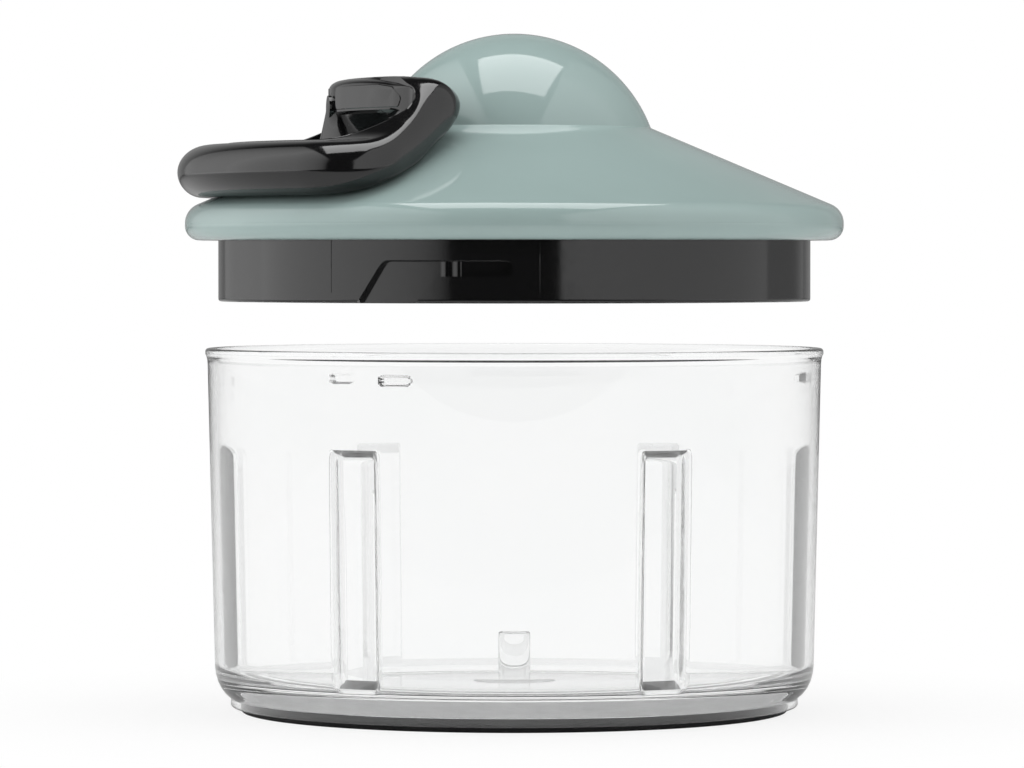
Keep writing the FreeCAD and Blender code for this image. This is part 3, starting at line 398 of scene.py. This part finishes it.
# The inner wall's rows lie close together where the lugs and the tops of the ribs stand on it.
inner_heights = [73.6 - 0.2 * step for step in range(17)] + [68.0, 62.0]
inner_heights += [58.0 - 0.35 * step for step in range(12)] + [50.0, 41.0, 32.0, 23.0, 15.0, 12.0]
inner_wall = [(wall_inside(height), height) for height in inner_heights]
shoulder_curve = [(60.7, 3.0), (61.95, 4.1), (62.85, 5.3), (63.5, 6.7), (63.92, 8.2),
                  (64.1, SHOULDER)]
foot_ring = [(0, UNDERSIDE[1]), (*UNDERSIDE, 0.8), (UNDERSIDE[0], 1.2, 0.5), (CHANNEL[0], 1.2),
             (CHANNEL[0], CHANNEL_TOP), (CHANNEL[1], CHANNEL_TOP), (CHANNEL[1], 1.2),
             (60.7, 1.2, 0.5)]
lip = [(65.6, 74.4), (65.68, 75.3), (65.86, 76.0), (66.1, 76.5), (66.1, BOWL_HEIGHT, 0.7),
       (63.9, BOWL_HEIGHT, 0.9)]
floor_and_pin = [(wall_inside(FLOOR_TOP), FLOOR_TOP, 3.5), (8.8, FLOOR_TOP), (8.8, 7.6, 0.3),
                 (3.4, 7.6), (3.4, 18.4, 0.6), (0, 18.4)]
bowl_outline = rounded(foot_ring + shoulder_curve + lip + inner_wall + floor_and_pin, 6)
bowl_shape = lathe(bowl_outline, BOWL_STEPS, closed=False)
for vertex in bowl_shape.verts:
    radius = math.hypot(vertex.co.x, vertex.co.y)
    height = vertex.co.z
    on_wall = RELIEF_FROM < radius < wall_inside(height) + 0.3
    if on_wall and FLOOR_TOP + 0.1 < height < RELIEF_TOP:
        azimuth = math.degrees(math.atan2(vertex.co.x, -vertex.co.y))
        vertex.co.xy *= min(1.0, (wall_inside(height) - stands_in(azimuth, height)) / radius)
HAZE = ((0.95, 0.955, 0.955), (0.97, 0.975, 0.975))
clear_plastic = finish("clear_plastic", ((0.988, 0.993, 0.992), (0.997, 0.999, 0.998)),
                       (0.0, 0.012), (30.0, 260.0), 0.0,
                       {"Transmission Weight": 0.985, "IOR": 1.5})
satin_plastic = finish("satin_plastic", HAZE, (0.3, 0.45), (60.0, 900.0), 0.0,
                       {"Transmission Weight": 0.5, "IOR": 1.5})
hazy_plastic = finish("hazy_plastic", HAZE, (0.0, 0.03), (60.0, 900.0), 0.0,
                      {"Transmission Weight": 0.78, "IOR": 1.5})
bowl = piece("clear_bowl", bowl_shape, clear_plastic)
bowl.data.materials.append(satin_plastic)
bowl.data.materials.append(hazy_plastic)
for face in bowl.data.polygons:
    radius = face.center.xy.length / MM
    height = face.center.z / MM
    proud = wall_inside(height) - radius
    if radius < UNDERSIDE[0] - 0.1 and height < UNDERSIDE[1] + 0.2:
        face.material_index = 1
    elif 0.1 < proud < RIB_PROUD - 0.1 and FLOOR_TOP + 1.0 < height < RIB_TOP:
        face.material_index = 2
bowl.visible_shadow = False
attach(bowl, "bowl_body")
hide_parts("bowl")

# ---- Base ring --------------------------------------------------------------------------------
# A black rubber ring pressed into the channel of the bowl's foot. The bowl stands on it and
# doesn't slide; its lower edge is rounded and it has the dull skin of moulded rubber.
RING_PLAY = 0.02
rubber = finish("black_rubber", ((0.007, 0.007, 0.0075), (0.012, 0.012, 0.0125)), (0.5, 0.72),
                (120.0, 2600.0), 0.00002, {"IOR": 1.5, "Specular IOR Level": 0.2})
ring_inner, ring_outer = CHANNEL[0] + RING_PLAY, CHANNEL[1] - RING_PLAY
ring_top = CHANNEL_TOP - RING_PLAY
ring_shape = lathe(rounded([(ring_inner, 0, 0.6), (ring_outer, 0, 0.6),
                            (ring_outer, ring_top, 0.2), (ring_inner, ring_top, 0.2)]), 480)
base_ring = piece("rubber_ring", ring_shape, rubber)
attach(base_ring, "bowl_body")
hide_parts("base_ring")

# ---- Lid shell --------------------------------------------------------------------------------
# The lid's glossy moulded cover in pale grey-green plastic: a dome over the cord reel, a shallow
# cone, and a rolled rim with a fine parting line. It is screwed to the collar from below.
LID = 87.7                # height of the collar's lower edge, lid taken off
CREASE = (29.2, 37.0)     # radius and height where the dome meets the cone
CONE_FALL = 0.4232
DOME_TOP = 57.2
SHELL_WALL = 2.2
RIM_RADIUS = 70.4
RIM_LOW = 13.0
RIM_PARTING = 16.4        # height of the parting line on the rim
SKIRT_RADIUS = 66.9
PULL_AZIMUTH = math.radians(190.0)
CORD_HEIGHT = 41.0
EYELET_RADIUS = 2.58
EYELET_REACH = 27.0       # how far from the middle the eyelet sits
LID_STEPS = 480


def cone_height(radius):
    """Top of the lid's cone at a radius."""
    return CREASE[1] - CONE_FALL * (radius - CREASE[0])


def carve(body, cutter):
    """Cut a closed shape in millimetres, placed in the lid's own heights, out of a piece."""
    tool = piece("cutter", cutter, body.data.materials[0], LID)
    cut = body.modifiers.new("cut", "BOOLEAN")
    cut.object = tool
    cut.operation = "DIFFERENCE"
    cut.solver = "EXACT"
    graph = bpy.context.evaluated_depsgraph_get()
    whole = body.data
    body.data = bpy.data.meshes.new_from_object(body.evaluated_get(graph))
    body.modifiers.clear()
    bpy.data.objects.remove(tool)
    bpy.data.meshes.remove(whole)
    carved = bmesh.new()
    carved.from_mesh(body.data)
    bmesh.ops.dissolve_degenerate(carved, edges=carved.edges, dist=0.000001)
    for edge in carved.edges:
        edge.smooth = edge.calc_face_angle(0.0) < SHARP
    carved.to_mesh(body.data)
    carved.free()


dome_radius = (CREASE[0] ** 2 + (DOME_TOP - CREASE[1]) ** 2) / (2.0 * (DOME_TOP - CREASE[1]))
dome_centre = DOME_TOP - dome_radius
dome_foot = math.degrees(math.atan2(CREASE[1] - dome_centre, CREASE[0]))
wall_drop = SHELL_WALL / math.cos(math.atan(CONE_FALL))
throat = CREASE[0] - SHELL_WALL
inner_foot = math.degrees(math.acos(throat / (dome_radius - SHELL_WALL)))
dome = arc(0.0, dome_centre, dome_radius, 90.0, dome_foot + 1.2, 44)
inner_dome = arc(0.0, dome_centre, dome_radius - SHELL_WALL, inner_foot, 90.0, 16)
cone_and_skirt = rounded(
    [dome[-1], (*CREASE, 0.5), (RIM_RADIUS, cone_height(RIM_RADIUS), 4.4),
     (RIM_RADIUS, RIM_PARTING + 0.1), (RIM_RADIUS - 0.03, RIM_PARTING),
     (RIM_RADIUS, RIM_PARTING - 0.1), (RIM_RADIUS, RIM_LOW, 3.1), (SKIRT_RADIUS, RIM_LOW),
     (SKIRT_RADIUS, cone_height(SKIRT_RADIUS) - wall_drop),
     (throat, cone_height(throat) - wall_drop)], 9)
lid_outline = dome + cone_and_skirt[1:] + inner_dome
green_plastic = finish("green_plastic", ((0.375, 0.488, 0.471), (0.395, 0.512, 0.495)),
                       (0.05, 0.085), (26.0, 420.0), 0.0000004, {"IOR": 1.6})
lid_shell = piece("lid_cover", lathe(lid_outline, LID_STEPS, closed=False), green_plastic, LID)
eyelet_bore = bmesh.new()
bmesh.ops.create_cone(eyelet_bore, cap_ends=True, segments=48, radius1=EYELET_RADIUS,
                      radius2=EYELET_RADIUS, depth=14.0)
bore = eyelet_bore.verts
bmesh.ops.rotate(eyelet_bore, matrix=Matrix.Rotation(math.pi / 2.0, 3, "Y"), verts=bore)
bmesh.ops.translate(eyelet_bore, vec=(EYELET_REACH, 0, CORD_HEIGHT), verts=bore)
bmesh.ops.rotate(eyelet_bore, matrix=Matrix.Rotation(PULL_AZIMUTH, 3, "Z"), verts=bore)
carve(lid_shell, eyelet_bore)
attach(lid_shell, "lid")
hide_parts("lid_shell")

# ---- Lid collar -------------------------------------------------------------------------------
# The black glossy plug under the cover, one moulding with the lid's floor. Three L-shaped slots in
# its wall take the bowl's lugs, and four fine parting lines of the mould run down it.
COLLAR_RADIUS = 63.3
COLLAR_INNER = 60.3
SLOT_FLOOR = 61.75        # radius of the slots' floors
SLOTS = 3
SLOT_MIDDLE = -15.5       # azimuth about which a slot is laid out flat
SLOT_TOP = 8.5
SLOT_LOW = 5.5
SLOT_LEAN = 0.22          # rise of the slot's upper wall for each millimetre outwards
SLOT_RIDGES = (2.7, 5.3)  # along the flat plan of the slot
RIDGE_PROUD = 0.27
RIDGE_HALF = 0.9
SEAM_AZIMUTHS = (-36.4, 4.7, 120.0, -120.0)
SEAM_SIZE = (0.16, 0.2, 12.3)
SEAM_SUNK = 0.01          # how far the middle of a parting line lies inside the wall
black_plastic = finish("black_plastic", ((0.005, 0.005, 0.0053), (0.0065, 0.0065, 0.0068)),
                       (0.08, 0.13), (34.0, 700.0), 0.0000005, {"IOR": 1.66})


def across_slot(azimuth):
    """Distance along the flat plan of a slot, from its middle, of an azimuth on the collar."""
    return COLLAR_RADIUS * math.sin(math.radians(azimuth - SLOT_MIDDLE))


def bent_plate(outline, cuts, layers, place):
    """A flat outline (across, up) sliced at cuts, thickened through layers of (depth, outset) and
    bent into shape: place gives the point for an across, a depth and an up."""
    plate = bmesh.new()
    plate.faces.new([plate.verts.new((point[0], layers[0][0], point[1])) for point in outline])
    for cut in cuts:
        bmesh.ops.bisect_plane(plate, geom=plate.verts[:] + plate.edges[:] + plate.faces[:],
                               plane_co=(cut, 0, 0), plane_no=(1, 0, 0))
    top = plate.faces[:]
    for before, layer in zip(layers, layers[1:]):
        raised = bmesh.ops.extrude_face_region(plate, geom=top)["geom"]
        top = [part for part in raised if isinstance(part, bmesh.types.BMFace)]
        rim = [part for part in raised if isinstance(part, bmesh.types.BMVert)]
        bmesh.ops.translate(plate, vec=(0, layer[0] - before[0], 0), verts=rim)
        bmesh.ops.recalc_face_normals(plate, faces=plate.faces)
        plate.normal_update()
        outward = [Vector((vertex.normal.x, 0.0, vertex.normal.z)).normalized() for vertex in rim]
        for vertex, push in zip(rim, outward):
            vertex.co += push * (layer[1] - before[1])
    for vertex in plate.verts:
        vertex.co = place(*vertex.co)
    bmesh.ops.recalc_face_normals(plate, faces=plate.faces)
    return plate


def slot_cutter(azimuth):
    """One L-shaped slot, its upper wall leaning open, with two click ridges on its floor."""
    closed_end = across_slot(-0.4)
    mouth = across_slot(-18.6)
    outline = rounded(
        [(across_slot(-35.2), -7.0), (across_slot(-26.0) + 0.75, SLOT_TOP, 3.0),
         (closed_end, SLOT_TOP, 1.3), (closed_end, SLOT_LOW, 1.3),
         (across_slot(-14.6), SLOT_LOW, 3.0), (mouth, 0.0), (mouth, -7.0)], 8)
    cuts = [0.25 * step for step in range(4, 28)] + list(range(-26, 1)) + list(range(8, 17))

    def place(across, depth, up):
        turn = math.asin(across / COLLAR_RADIUS) + math.radians(SLOT_MIDDLE + azimuth)
        near = min(abs(across - middle) for middle in SLOT_RIDGES)
        ridge = RIDGE_PROUD * math.cos(min(near / RIDGE_HALF, 1.0) * math.pi / 2.0)
        radius = SLOT_FLOOR + depth + (ridge if depth < 0.01 else 0.0)
        lean = SLOT_LEAN * ease(SLOT_TOP - 0.9, SLOT_TOP, up) * depth
        return Vector((radius * math.sin(turn), -radius * math.cos(turn), up + lean))

    return bent_plate(outline, cuts, ((0.0, 0.0), (4.0, 0.0)), place)


collar_outline = rounded(
    [(COLLAR_INNER, 0, 0.4), (COLLAR_RADIUS, 0, 0.6), (COLLAR_RADIUS, 0.9),
     (COLLAR_RADIUS, 14.3), (COLLAR_RADIUS, 14.6), (66.7, 14.6, 0.3), (66.7, 16.6, 0.3),
     (COLLAR_INNER, 16.6), (COLLAR_INNER, 8.4), (12.5, 8.4), (12.5, 9.4, 0.2), (9.5, 9.4),
     (9.5, 5.0), (12.5, 5.0, 0.3), (12.5, 6.0, 0.3), (COLLAR_INNER, 6.0, 0.8)], 6)
collar = piece("lid_plug", lathe(collar_outline, LID_STEPS), black_plastic, LID)
for index in range(SLOTS):
    carve(collar, slot_cutter(360.0 / SLOTS * index))
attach(collar, "lid")
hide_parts("lid_collar")

seams_shape = bmesh.new()
for azimuth in SEAM_AZIMUTHS:
    seam = bmesh.ops.create_cube(seams_shape, size=1.0)["verts"]
    bmesh.ops.scale(seams_shape, vec=SEAM_SIZE, verts=seam)
    bmesh.ops.translate(seams_shape, vec=(0, -COLLAR_RADIUS + SEAM_SUNK, 8.3), verts=seam)
    bmesh.ops.rotate(seams_shape, matrix=Matrix.Rotation(math.radians(azimuth), 3, "Z"),
                     verts=seam)
bmesh.ops.bevel(seams_shape, geom=seams_shape.edges[:], offset=0.055, offset_type="OFFSET",
                segments=1, profile=0.5, affect="EDGES", material=-1)
seams = piece("plug_parting_lines", seams_shape, black_plastic, LID)
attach(seams, "lid")

# ---- Lid seal ---------------------------------------------------------------------------------
# A soft grey ring round the plug, under the cover's skirt, that the bowl's rim presses against.
# It lies loose in its groove and can be pulled out for washing.
soft_rubber = finish("seal_rubber", ((0.24, 0.24, 0.235), (0.3, 0.3, 0.292)), (0.42, 0.6),
                     (90.0, 1800.0), 0.00001, {"IOR": 1.42})
seal_shape = lathe(rounded([(63.5, 13.0, 0.35), (66.5, 13.0, 0.35), (66.5, 14.4, 0.35),
                            (63.5, 14.4, 0.35)]), 360)
seal = piece("rim_seal", seal_shape, soft_rubber, LID)
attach(seal, "seal")
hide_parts("lid_seal")

# ---- Handle -----------------------------------------------------------------------------------
# The black loop handle: an arch that parks round the dome, two arms and a grip over the lid's rim.
# Glossy plastic, full and round outside, with a crisp edge round the finger opening.
LID_GAP = 0.5
GRIP_OUTER = 72.0
GRIP_INNER = 61.0
GRIP_TOP = 33.29
HANDLE_LOW = 21.59
ARCH_TOP = 47.19
ARCH_EDGE = 41.2          # radii between which the handle slopes from the arch to the grip
SLOPE_EDGE = 57.5
HUG_CENTRE = -4.5         # the arc of the arch round the dome
HUG_RADIUS = 34.0
FACE_CENTRE = -16.7       # the arc of the arch's face in the opening
FACE_CURVE = 56.2
ARM_OFFSET = 16.5
ARM_INNER = 40.0
OUTER_BENDS = (15.0, 8.0)  # plan rounds from grip to arm and from arm to arch
INNER_BENDS = (8.0, 4.0)
GRIP_STEPS, BEND_STEPS, ARCH_STEPS = 70, 34, 50
MATCH_FINE = 8            # how much finer the opening's plan is, to find its nearest points
CRISP = 0.35              # round of the opening's edge
RIM_REACH = 3.0           # round of the arch's upper edge, across and down
RIM_DROP = 2.0
ARCH_REACH = 45.0         # how far along the pull the arch's own edges reach
PANEL_LOW = 40.6
FACE_LOW = PANEL_LOW - 0.4
UNDERCUT = (1.1, 3.0)     # how far the arch's face steps back below the panels, and at its foot
PANEL_LAYERS = ((-1.2, 0.0), (0.02, 0.0), (0.14, -0.14))
SPINE_ROOT = 4.4          # how deep the spine is rooted in the arch
SPINE_LOW = GRIP_TOP - 1.5
SPINE_WAIST = 40.3
SPINE_TOP = ARCH_TOP - 1.0

# Steps at which the stretches of a cross-section end: underside, nose, top, edge, wall and foot.
LOW_END, NOSE_END, TOP_END, EDGE_END, WALL_END, SECTION_END = 8, 36, 42, 50, 61, 64


def handle_place(along, over, height):
    """From along the pull, across it and up, to the lid's own frame."""
    point = Matrix.Rotation(PULL_AZIMUTH, 3, "Z") @ Vector((along, over, 0.0))
    return Vector((point.x, point.y, height))


def soft_min(first, second, blend):
    """The smaller of two heights, blended smoothly where they cross."""
    near = max(blend - abs(first - second), 0.0) / blend
    return min(first, second) - near * near * blend / 4.0


def handle_top(radius):
    """Top of the handle: level over the arch, a slope, and level over the grip."""
    slope = GRIP_TOP + (SLOPE_EDGE - radius) * (ARCH_TOP - GRIP_TOP) / (SLOPE_EDGE - ARCH_EDGE)
    return soft_min(ARCH_TOP, -soft_min(-GRIP_TOP, -slope, 6.0), 2.2)


def handle_low(radius):
    """Underside of the handle: it follows the lid's cone, and is level over the rim."""
    return -soft_min(-HANDLE_LOW, -(cone_height(radius) + LID_GAP), 1.4)


def back_meets(centre, radius, offset):
    """Where a line at 45 degrees leaves a circle whose centre is on the pull line."""
    half = (offset - centre) / 2.0
    over = math.sqrt(radius ** 2 / 2.0 - (offset + centre) ** 2 / 4.0)
    return over - half, over - half + offset


def bend_points(centre, radius, start, end, count):
    """Plan points of an arc between two angles in radians, without its end."""
    points = []
    for step in range(count):
        angle = start + (end - start) * step / count
        across = centre[0] + radius * math.cos(angle)
        over = centre[1] + radius * math.sin(angle)
        points.append(Vector((across, over)))
    return points


def half_plan(grip, grip_bend, arch_bend, bends, side_angle, arch, fine=1):
    """Half of a plan outline from the grip's middle to the arch's: grip, bend, arm, bend, arch."""
    grip_angle = math.atan2(grip_bend[1], grip_bend[0])
    arch_angle = math.atan2(arch_bend[1], arch_bend[0] - arch[0])
    turned_in = arch_angle + math.pi
    if arch_angle < side_angle - math.pi / 2.0:
        turned_in = arch_angle - math.pi
    bend_steps = BEND_STEPS * fine
    points = bend_points((0.0, 0.0), grip, 0.0, grip_angle, GRIP_STEPS * fine)
    points += bend_points(grip_bend, bends[0], grip_angle, side_angle, bend_steps)
    leave = Vector((math.cos(side_angle), math.sin(side_angle)))
    first = Vector(grip_bend) + leave * bends[0]
    last = Vector(arch_bend) + leave * bends[1]
    points += [first.lerp(last, step / bend_steps) for step in range(bend_steps)]
    points += bend_points(arch_bend, bends[1], side_angle, turned_in, bend_steps)
    points += bend_points((arch[0], 0.0), arch[1], arch_angle, 0.0, ARCH_STEPS * fine)
    return points + [Vector((arch[0] + arch[1], 0.0))]


outer_grip_bend = back_meets(0.0, GRIP_OUTER - OUTER_BENDS[0],
                             ARM_OFFSET - OUTER_BENDS[0] * math.sqrt(2.0))
outer_arch_bend = back_meets(HUG_CENTRE, HUG_RADIUS + OUTER_BENDS[1],
                             ARM_OFFSET - OUTER_BENDS[1] * math.sqrt(2.0))
over_grip, over_arch = ARM_INNER - INNER_BENDS[0], ARM_INNER - INNER_BENDS[1]
inner_grip_bend = (math.sqrt((GRIP_INNER - INNER_BENDS[0]) ** 2 - over_grip ** 2), over_grip)
inner_arch_bend = (FACE_CENTRE + math.sqrt((FACE_CURVE + INNER_BENDS[1]) ** 2 - over_arch ** 2),
                   over_arch)
outside = half_plan(GRIP_OUTER, outer_grip_bend, outer_arch_bend, OUTER_BENDS,
                    math.radians(135.0), (HUG_CENTRE, HUG_RADIUS))
inside = half_plan(GRIP_INNER, inner_grip_bend, inner_arch_bend, INNER_BENDS,
                   math.radians(90.0), (FACE_CENTRE, FACE_CURVE), MATCH_FINE)

# Each section runs from a point of the outer plan to the nearest one of the opening's plan, so
# that neighbouring sections don't cross.
opening = KDTree(len(inside))
for index, point in enumerate(inside):
    opening.insert((point.x, point.y, 0.0), index)
opening.balance()
inside = [inside[opening.find((point.x, point.y, 0.0))[1]] for point in outside]
mirror = Vector((1.0, -1.0))
outside += [point * mirror for point in outside[-2:0:-1]]
inside += [point * mirror for point in inside[-2:0:-1]]


def edge_round(point):
    """Round of the opening's upper edge at a plan point, across and down: full on the arch."""
    arch = 1.0 - ease(27.0, 34.5, abs(point.y)) if point.x < ARCH_REACH else 0.0
    return CRISP + (RIM_REACH - CRISP) * arch, CRISP + (RIM_DROP - CRISP) * arch


def stands_back(point, height):
    """How far the wall of the opening stands back from its plan outline at a height."""
    across, down = edge_round(point)
    rise = min(1.0, max(0.0, (height - handle_top(point.length) + down) / down))
    back = across * (1.0 - math.sqrt(1.0 - rise * rise))
    if point.x < ARCH_REACH and height < FACE_LOW:
        arch = 1.0 - ease(24.0, 33.0, abs(point.y))
        deep = (FACE_LOW - height) / (PANEL_LOW - GRIP_TOP)
        back += arch * min(1.0, deep * 12.0) * UNDERCUT[0]
        back += arch * deep * (UNDERCUT[1] - UNDERCUT[0])
    return back


def section_place(step, outer, inner):
    """A point on the handle's cross-section, once round it from its inner lower edge: underside,
    round nose, top, edge of the opening, its wall, and the small round at the wall's foot."""
    width = (outer - inner).length
    across, down = edge_round(inner)
    # The nose takes nearly the whole width on the arch, and the least of it on the arms.
    share = 0.96 - 0.56 * ease(44.0, 50.0, inner.length) + 0.24 * ease(56.0, 62.0, inner.length)
    nose = min(width * share, width - across - 0.2)
    # The underside slopes, so the foot's place and its height settle in a few rounds.
    low_here = handle_low(inner.length)
    for settling in range(4):
        foot = CRISP + stands_back(inner, low_here + CRISP)
        low_here = handle_low(inner.lerp(outer, foot / width).length)
    low_nose = min(nose, width - foot - 0.2)
    if step <= LOW_END:
        reach, rise = foot + (width - low_nose - foot) * step / LOW_END, -1.0
    elif step <= NOSE_END:
        angle = math.pi * (step - LOW_END) / (NOSE_END - LOW_END) - math.pi / 2.0
        reach = width - (low_nose if angle < 0.0 else nose) * (1.0 - math.cos(angle))
        rise = math.sin(angle)
    else:
        flat = width - nose - across
        reach = across + flat * (TOP_END - step) / (TOP_END - NOSE_END)
        rise = 1.0
    if step <= TOP_END:
        point = inner.lerp(outer, reach / width)
        top = handle_top(point.length)
        low = handle_low(point.length)
        return point, (top + low) / 2.0 + rise * (top - low) / 2.0
    edge_low = handle_top(inner.length) - down
    wall_low = low_here + CRISP
    if step <= EDGE_END:
        angle = math.pi / 2.0 * (step - TOP_END) / (EDGE_END - TOP_END)
        height = edge_low + down * math.cos(angle)
    elif step <= WALL_END:
        deepest = PANEL_LOW - 1.05
        levels = [edge_low, PANEL_LOW + 0.1, FACE_LOW, PANEL_LOW - 0.7, deepest]
        levels += [deepest - (deepest - wall_low) * level / 6.0 for level in range(1, 7)]
        height = min(edge_low, max(wall_low, levels[step - EDGE_END - 1]))
    else:
        angle = math.pi / 2.0 * (step - WALL_END) / (SECTION_END - WALL_END)
        back = foot - CRISP * math.cos(angle)
        return inner.lerp(outer, back / width), wall_low - CRISP * math.sin(angle)
    return inner.lerp(outer, stands_back(inner, height) / width), height


def woven(columns, rows, place):
    """A grid wrapped onto a surface: place gives the point for two shares from 0 to 1."""
    wrapped = bmesh.new()
    bmesh.ops.create_grid(wrapped, x_segments=columns, y_segments=rows, size=0.5)
    for vertex in wrapped.verts:
        vertex.co = place(vertex.co.x + 0.5, vertex.co.y + 0.5)
    bmesh.ops.remove_doubles(wrapped, verts=wrapped.verts, dist=0.002)
    bmesh.ops.dissolve_degenerate(wrapped, edges=wrapped.edges, dist=0.001)
    return wrapped


def handle_skin(round_loop, round_section):
    """A point of the handle's surface, for shares round the loop and round the section."""
    index = round(round_loop * len(outside)) % len(outside)
    step = round(round_section * SECTION_END) % SECTION_END
    point, height = section_place(step, outside[index], inside[index])
    return handle_place(point.x, point.y, height)


def spine_place(round_spine, up):
    """The spine on the arch's face: a flared foot, a waist, and a top that sinks into the arch."""
    height = SPINE_LOW + (SPINE_TOP - SPINE_LOW) * up
    foot = max(0.0, (SPINE_WAIST - height) / 7.0)
    half = 3.3 + 9.7 * foot ** 1.7
    proud = 1.2 + 1.4 * foot
    if not foot:
        proud -= 2.6 * ((height - SPINE_WAIST) / 6.9) ** 1.5
    angle = FULL_TURN * round_spine
    over = half * math.sin(angle)
    bulge = math.cos(angle)
    depth = (proud + SPINE_ROOT) * bulge ** 0.7 if bulge > 0.0 else 0.6 * bulge
    along = FACE_CENTRE + math.sqrt(FACE_CURVE ** 2 - over ** 2) - SPINE_ROOT + depth
    return handle_place(along, over, height)


def capped(shape):
    """A shape with its open ends filled."""
    ends = [edge for edge in shape.edges if edge.is_boundary]
    bmesh.ops.holes_fill(shape, edges=ends, sides=0)
    return shape


handle = piece("loop_handle", woven(len(outside), SECTION_END, handle_skin), black_plastic, LID)
spine = piece("handle_spine", capped(woven(48, 24, spine_place)), black_plastic, LID)


def panel_plate(side):
    """A plate on the arch's face, on one side of the spine, that follows the rounded rim."""
    outline = rounded([(4.9, PANEL_LOW, 1.7), (33.2, PANEL_LOW, 0.8), (34.2, 42.6, 1.0),
                       (31.2, 44.9, 1.6), (26.0, 45.5, 3.0), (4.9, 45.5, 1.7)], 6)

    def place(across, depth, up):
        turn = across / FACE_CURVE
        inner = Vector((FACE_CENTRE + FACE_CURVE * math.cos(turn), FACE_CURVE * math.sin(turn)))
        reach = FACE_CURVE + depth - stands_back(inner, max(up, PANEL_LOW))
        return handle_place(FACE_CENTRE + reach * math.cos(turn), side * reach * math.sin(turn), up)

    return bent_plate(outline, range(5, 34), PANEL_LAYERS, place)


one_panel = bpy.data.meshes.new("one_panel")
panels_shape = bmesh.new()
for side in (-1.0, 1.0):
    plate = panel_plate(side)
    plate.to_mesh(one_panel)
    plate.free()
    panels_shape.from_mesh(one_panel)
bpy.data.meshes.remove(one_panel)
panels = piece("handle_panels", panels_shape, black_plastic, LID)
for part in (handle, spine, panels):
    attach(part, "handle")
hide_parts("handle_shell")
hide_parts("handle_insert")

# ---- Cord -------------------------------------------------------------------------------------
# A thin braided cord that comes off the reel, turns over the lip of a smooth black eyelet in the
# dome and ends in a knot inside the handle. Pulling the handle draws it out.
CORD_RADIUS = 1.0
CORD_SPAN = (19.6, 33.4)  # from the winding to the knot, along the pull
CORD_SWERVE = 23.4        # where the cord begins to swerve to the winding
cord_plait = finish("braided_cord", ((0.02, 0.02, 0.022), (0.07, 0.07, 0.075)), (0.7, 0.9),
                    (1500.0, 5200.0), 0.00018, {"Sheen Weight": 0.3}, (1, 1, 0.45))


def cord_place(around_cord, along_cord):
    """Skin of the cord from the winding to its knot, a little thicker and thinner at each plait."""
    along = CORD_SPAN[0] + (CORD_SPAN[1] - CORD_SPAN[0]) * along_cord
    swerve = max(0.0, CORD_SWERVE - along)
    thick = CORD_RADIUS * (1.0 + 0.03 * math.sin(along * 7.0))
    angle = FULL_TURN * around_cord
    over = 0.16 * swerve * swerve + thick * math.cos(angle)
    return handle_place(along, over, CORD_HEIGHT + thick * math.sin(angle))


cord = piece("pull_cord", capped(woven(24, 120, cord_place)), cord_plait, LID)
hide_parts("cord_lead")
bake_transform(cord)


def merged(node):
    """A copy of a CAD node's triangles with their shared corners merged, in millimetres."""
    copy = bmesh.new()
    copy.from_mesh(frame["nodes"][node].data)
    bmesh.ops.scale(copy, vec=(1 / MM, 1 / MM, 1 / MM), verts=copy.verts)
    bmesh.ops.remove_doubles(copy, verts=copy.verts, dist=0.001)
    return copy


eyelet = piece("dome_eyelet", merged("cord_eyelet"), black_plastic)
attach(eyelet, "lid")
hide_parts("cord_eyelet")

# ---- Drive inside the lid ---------------------------------------------------------------------
# Reel, spring cup, clutch and spindle in slippery white plastic, a brass bush, and steel pins,
# screws and spring. They are assembled on the collar's floor before the cover goes on.
white_plastic = finish("white_plastic", ((0.74, 0.74, 0.71), (0.8, 0.8, 0.775)), (0.32, 0.45),
                       (60.0, 1400.0), 0.000004, {"IOR": 1.48})
steel = finish("turned_steel", ((0.5, 0.5, 0.51), (0.64, 0.64, 0.65)), (0.18, 0.34),
               (300.0, 2200.0), 0.000002, {"Metallic": 1.0}, (1, 1, 12))
brass = finish("sintered_brass", ((0.58, 0.42, 0.19), (0.68, 0.5, 0.25)), (0.3, 0.5),
               (400.0, 3600.0), 0.000005, {"Metallic": 1.0})
for name, material in (("drive_spindle", white_plastic), ("lid_screws", steel),
                       ("spindle_seal", soft_rubber)):
    part = piece("fine_" + name, merged(name), material)
    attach(part, frame["nodes"][name]["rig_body"])
    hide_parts(name)
carried = {
    white_plastic: ("reel", "spring_cup", "spring_cover", "pawl_carrier", "clutch_ring"),
    black_plastic: ("pawls", "handle_plug"),
    steel: ("reel_axle", "cup_screws", "recoil_spring", "retaining_clip"),
    brass: ("spindle_bushing",),
    cord_plait: ("cord_winding", "cord_knot"),
}
for material, names in carried.items():
    for name in names:
        frame["nodes"][name].data.materials.clear()
        frame["nodes"][name].data.materials.append(material)
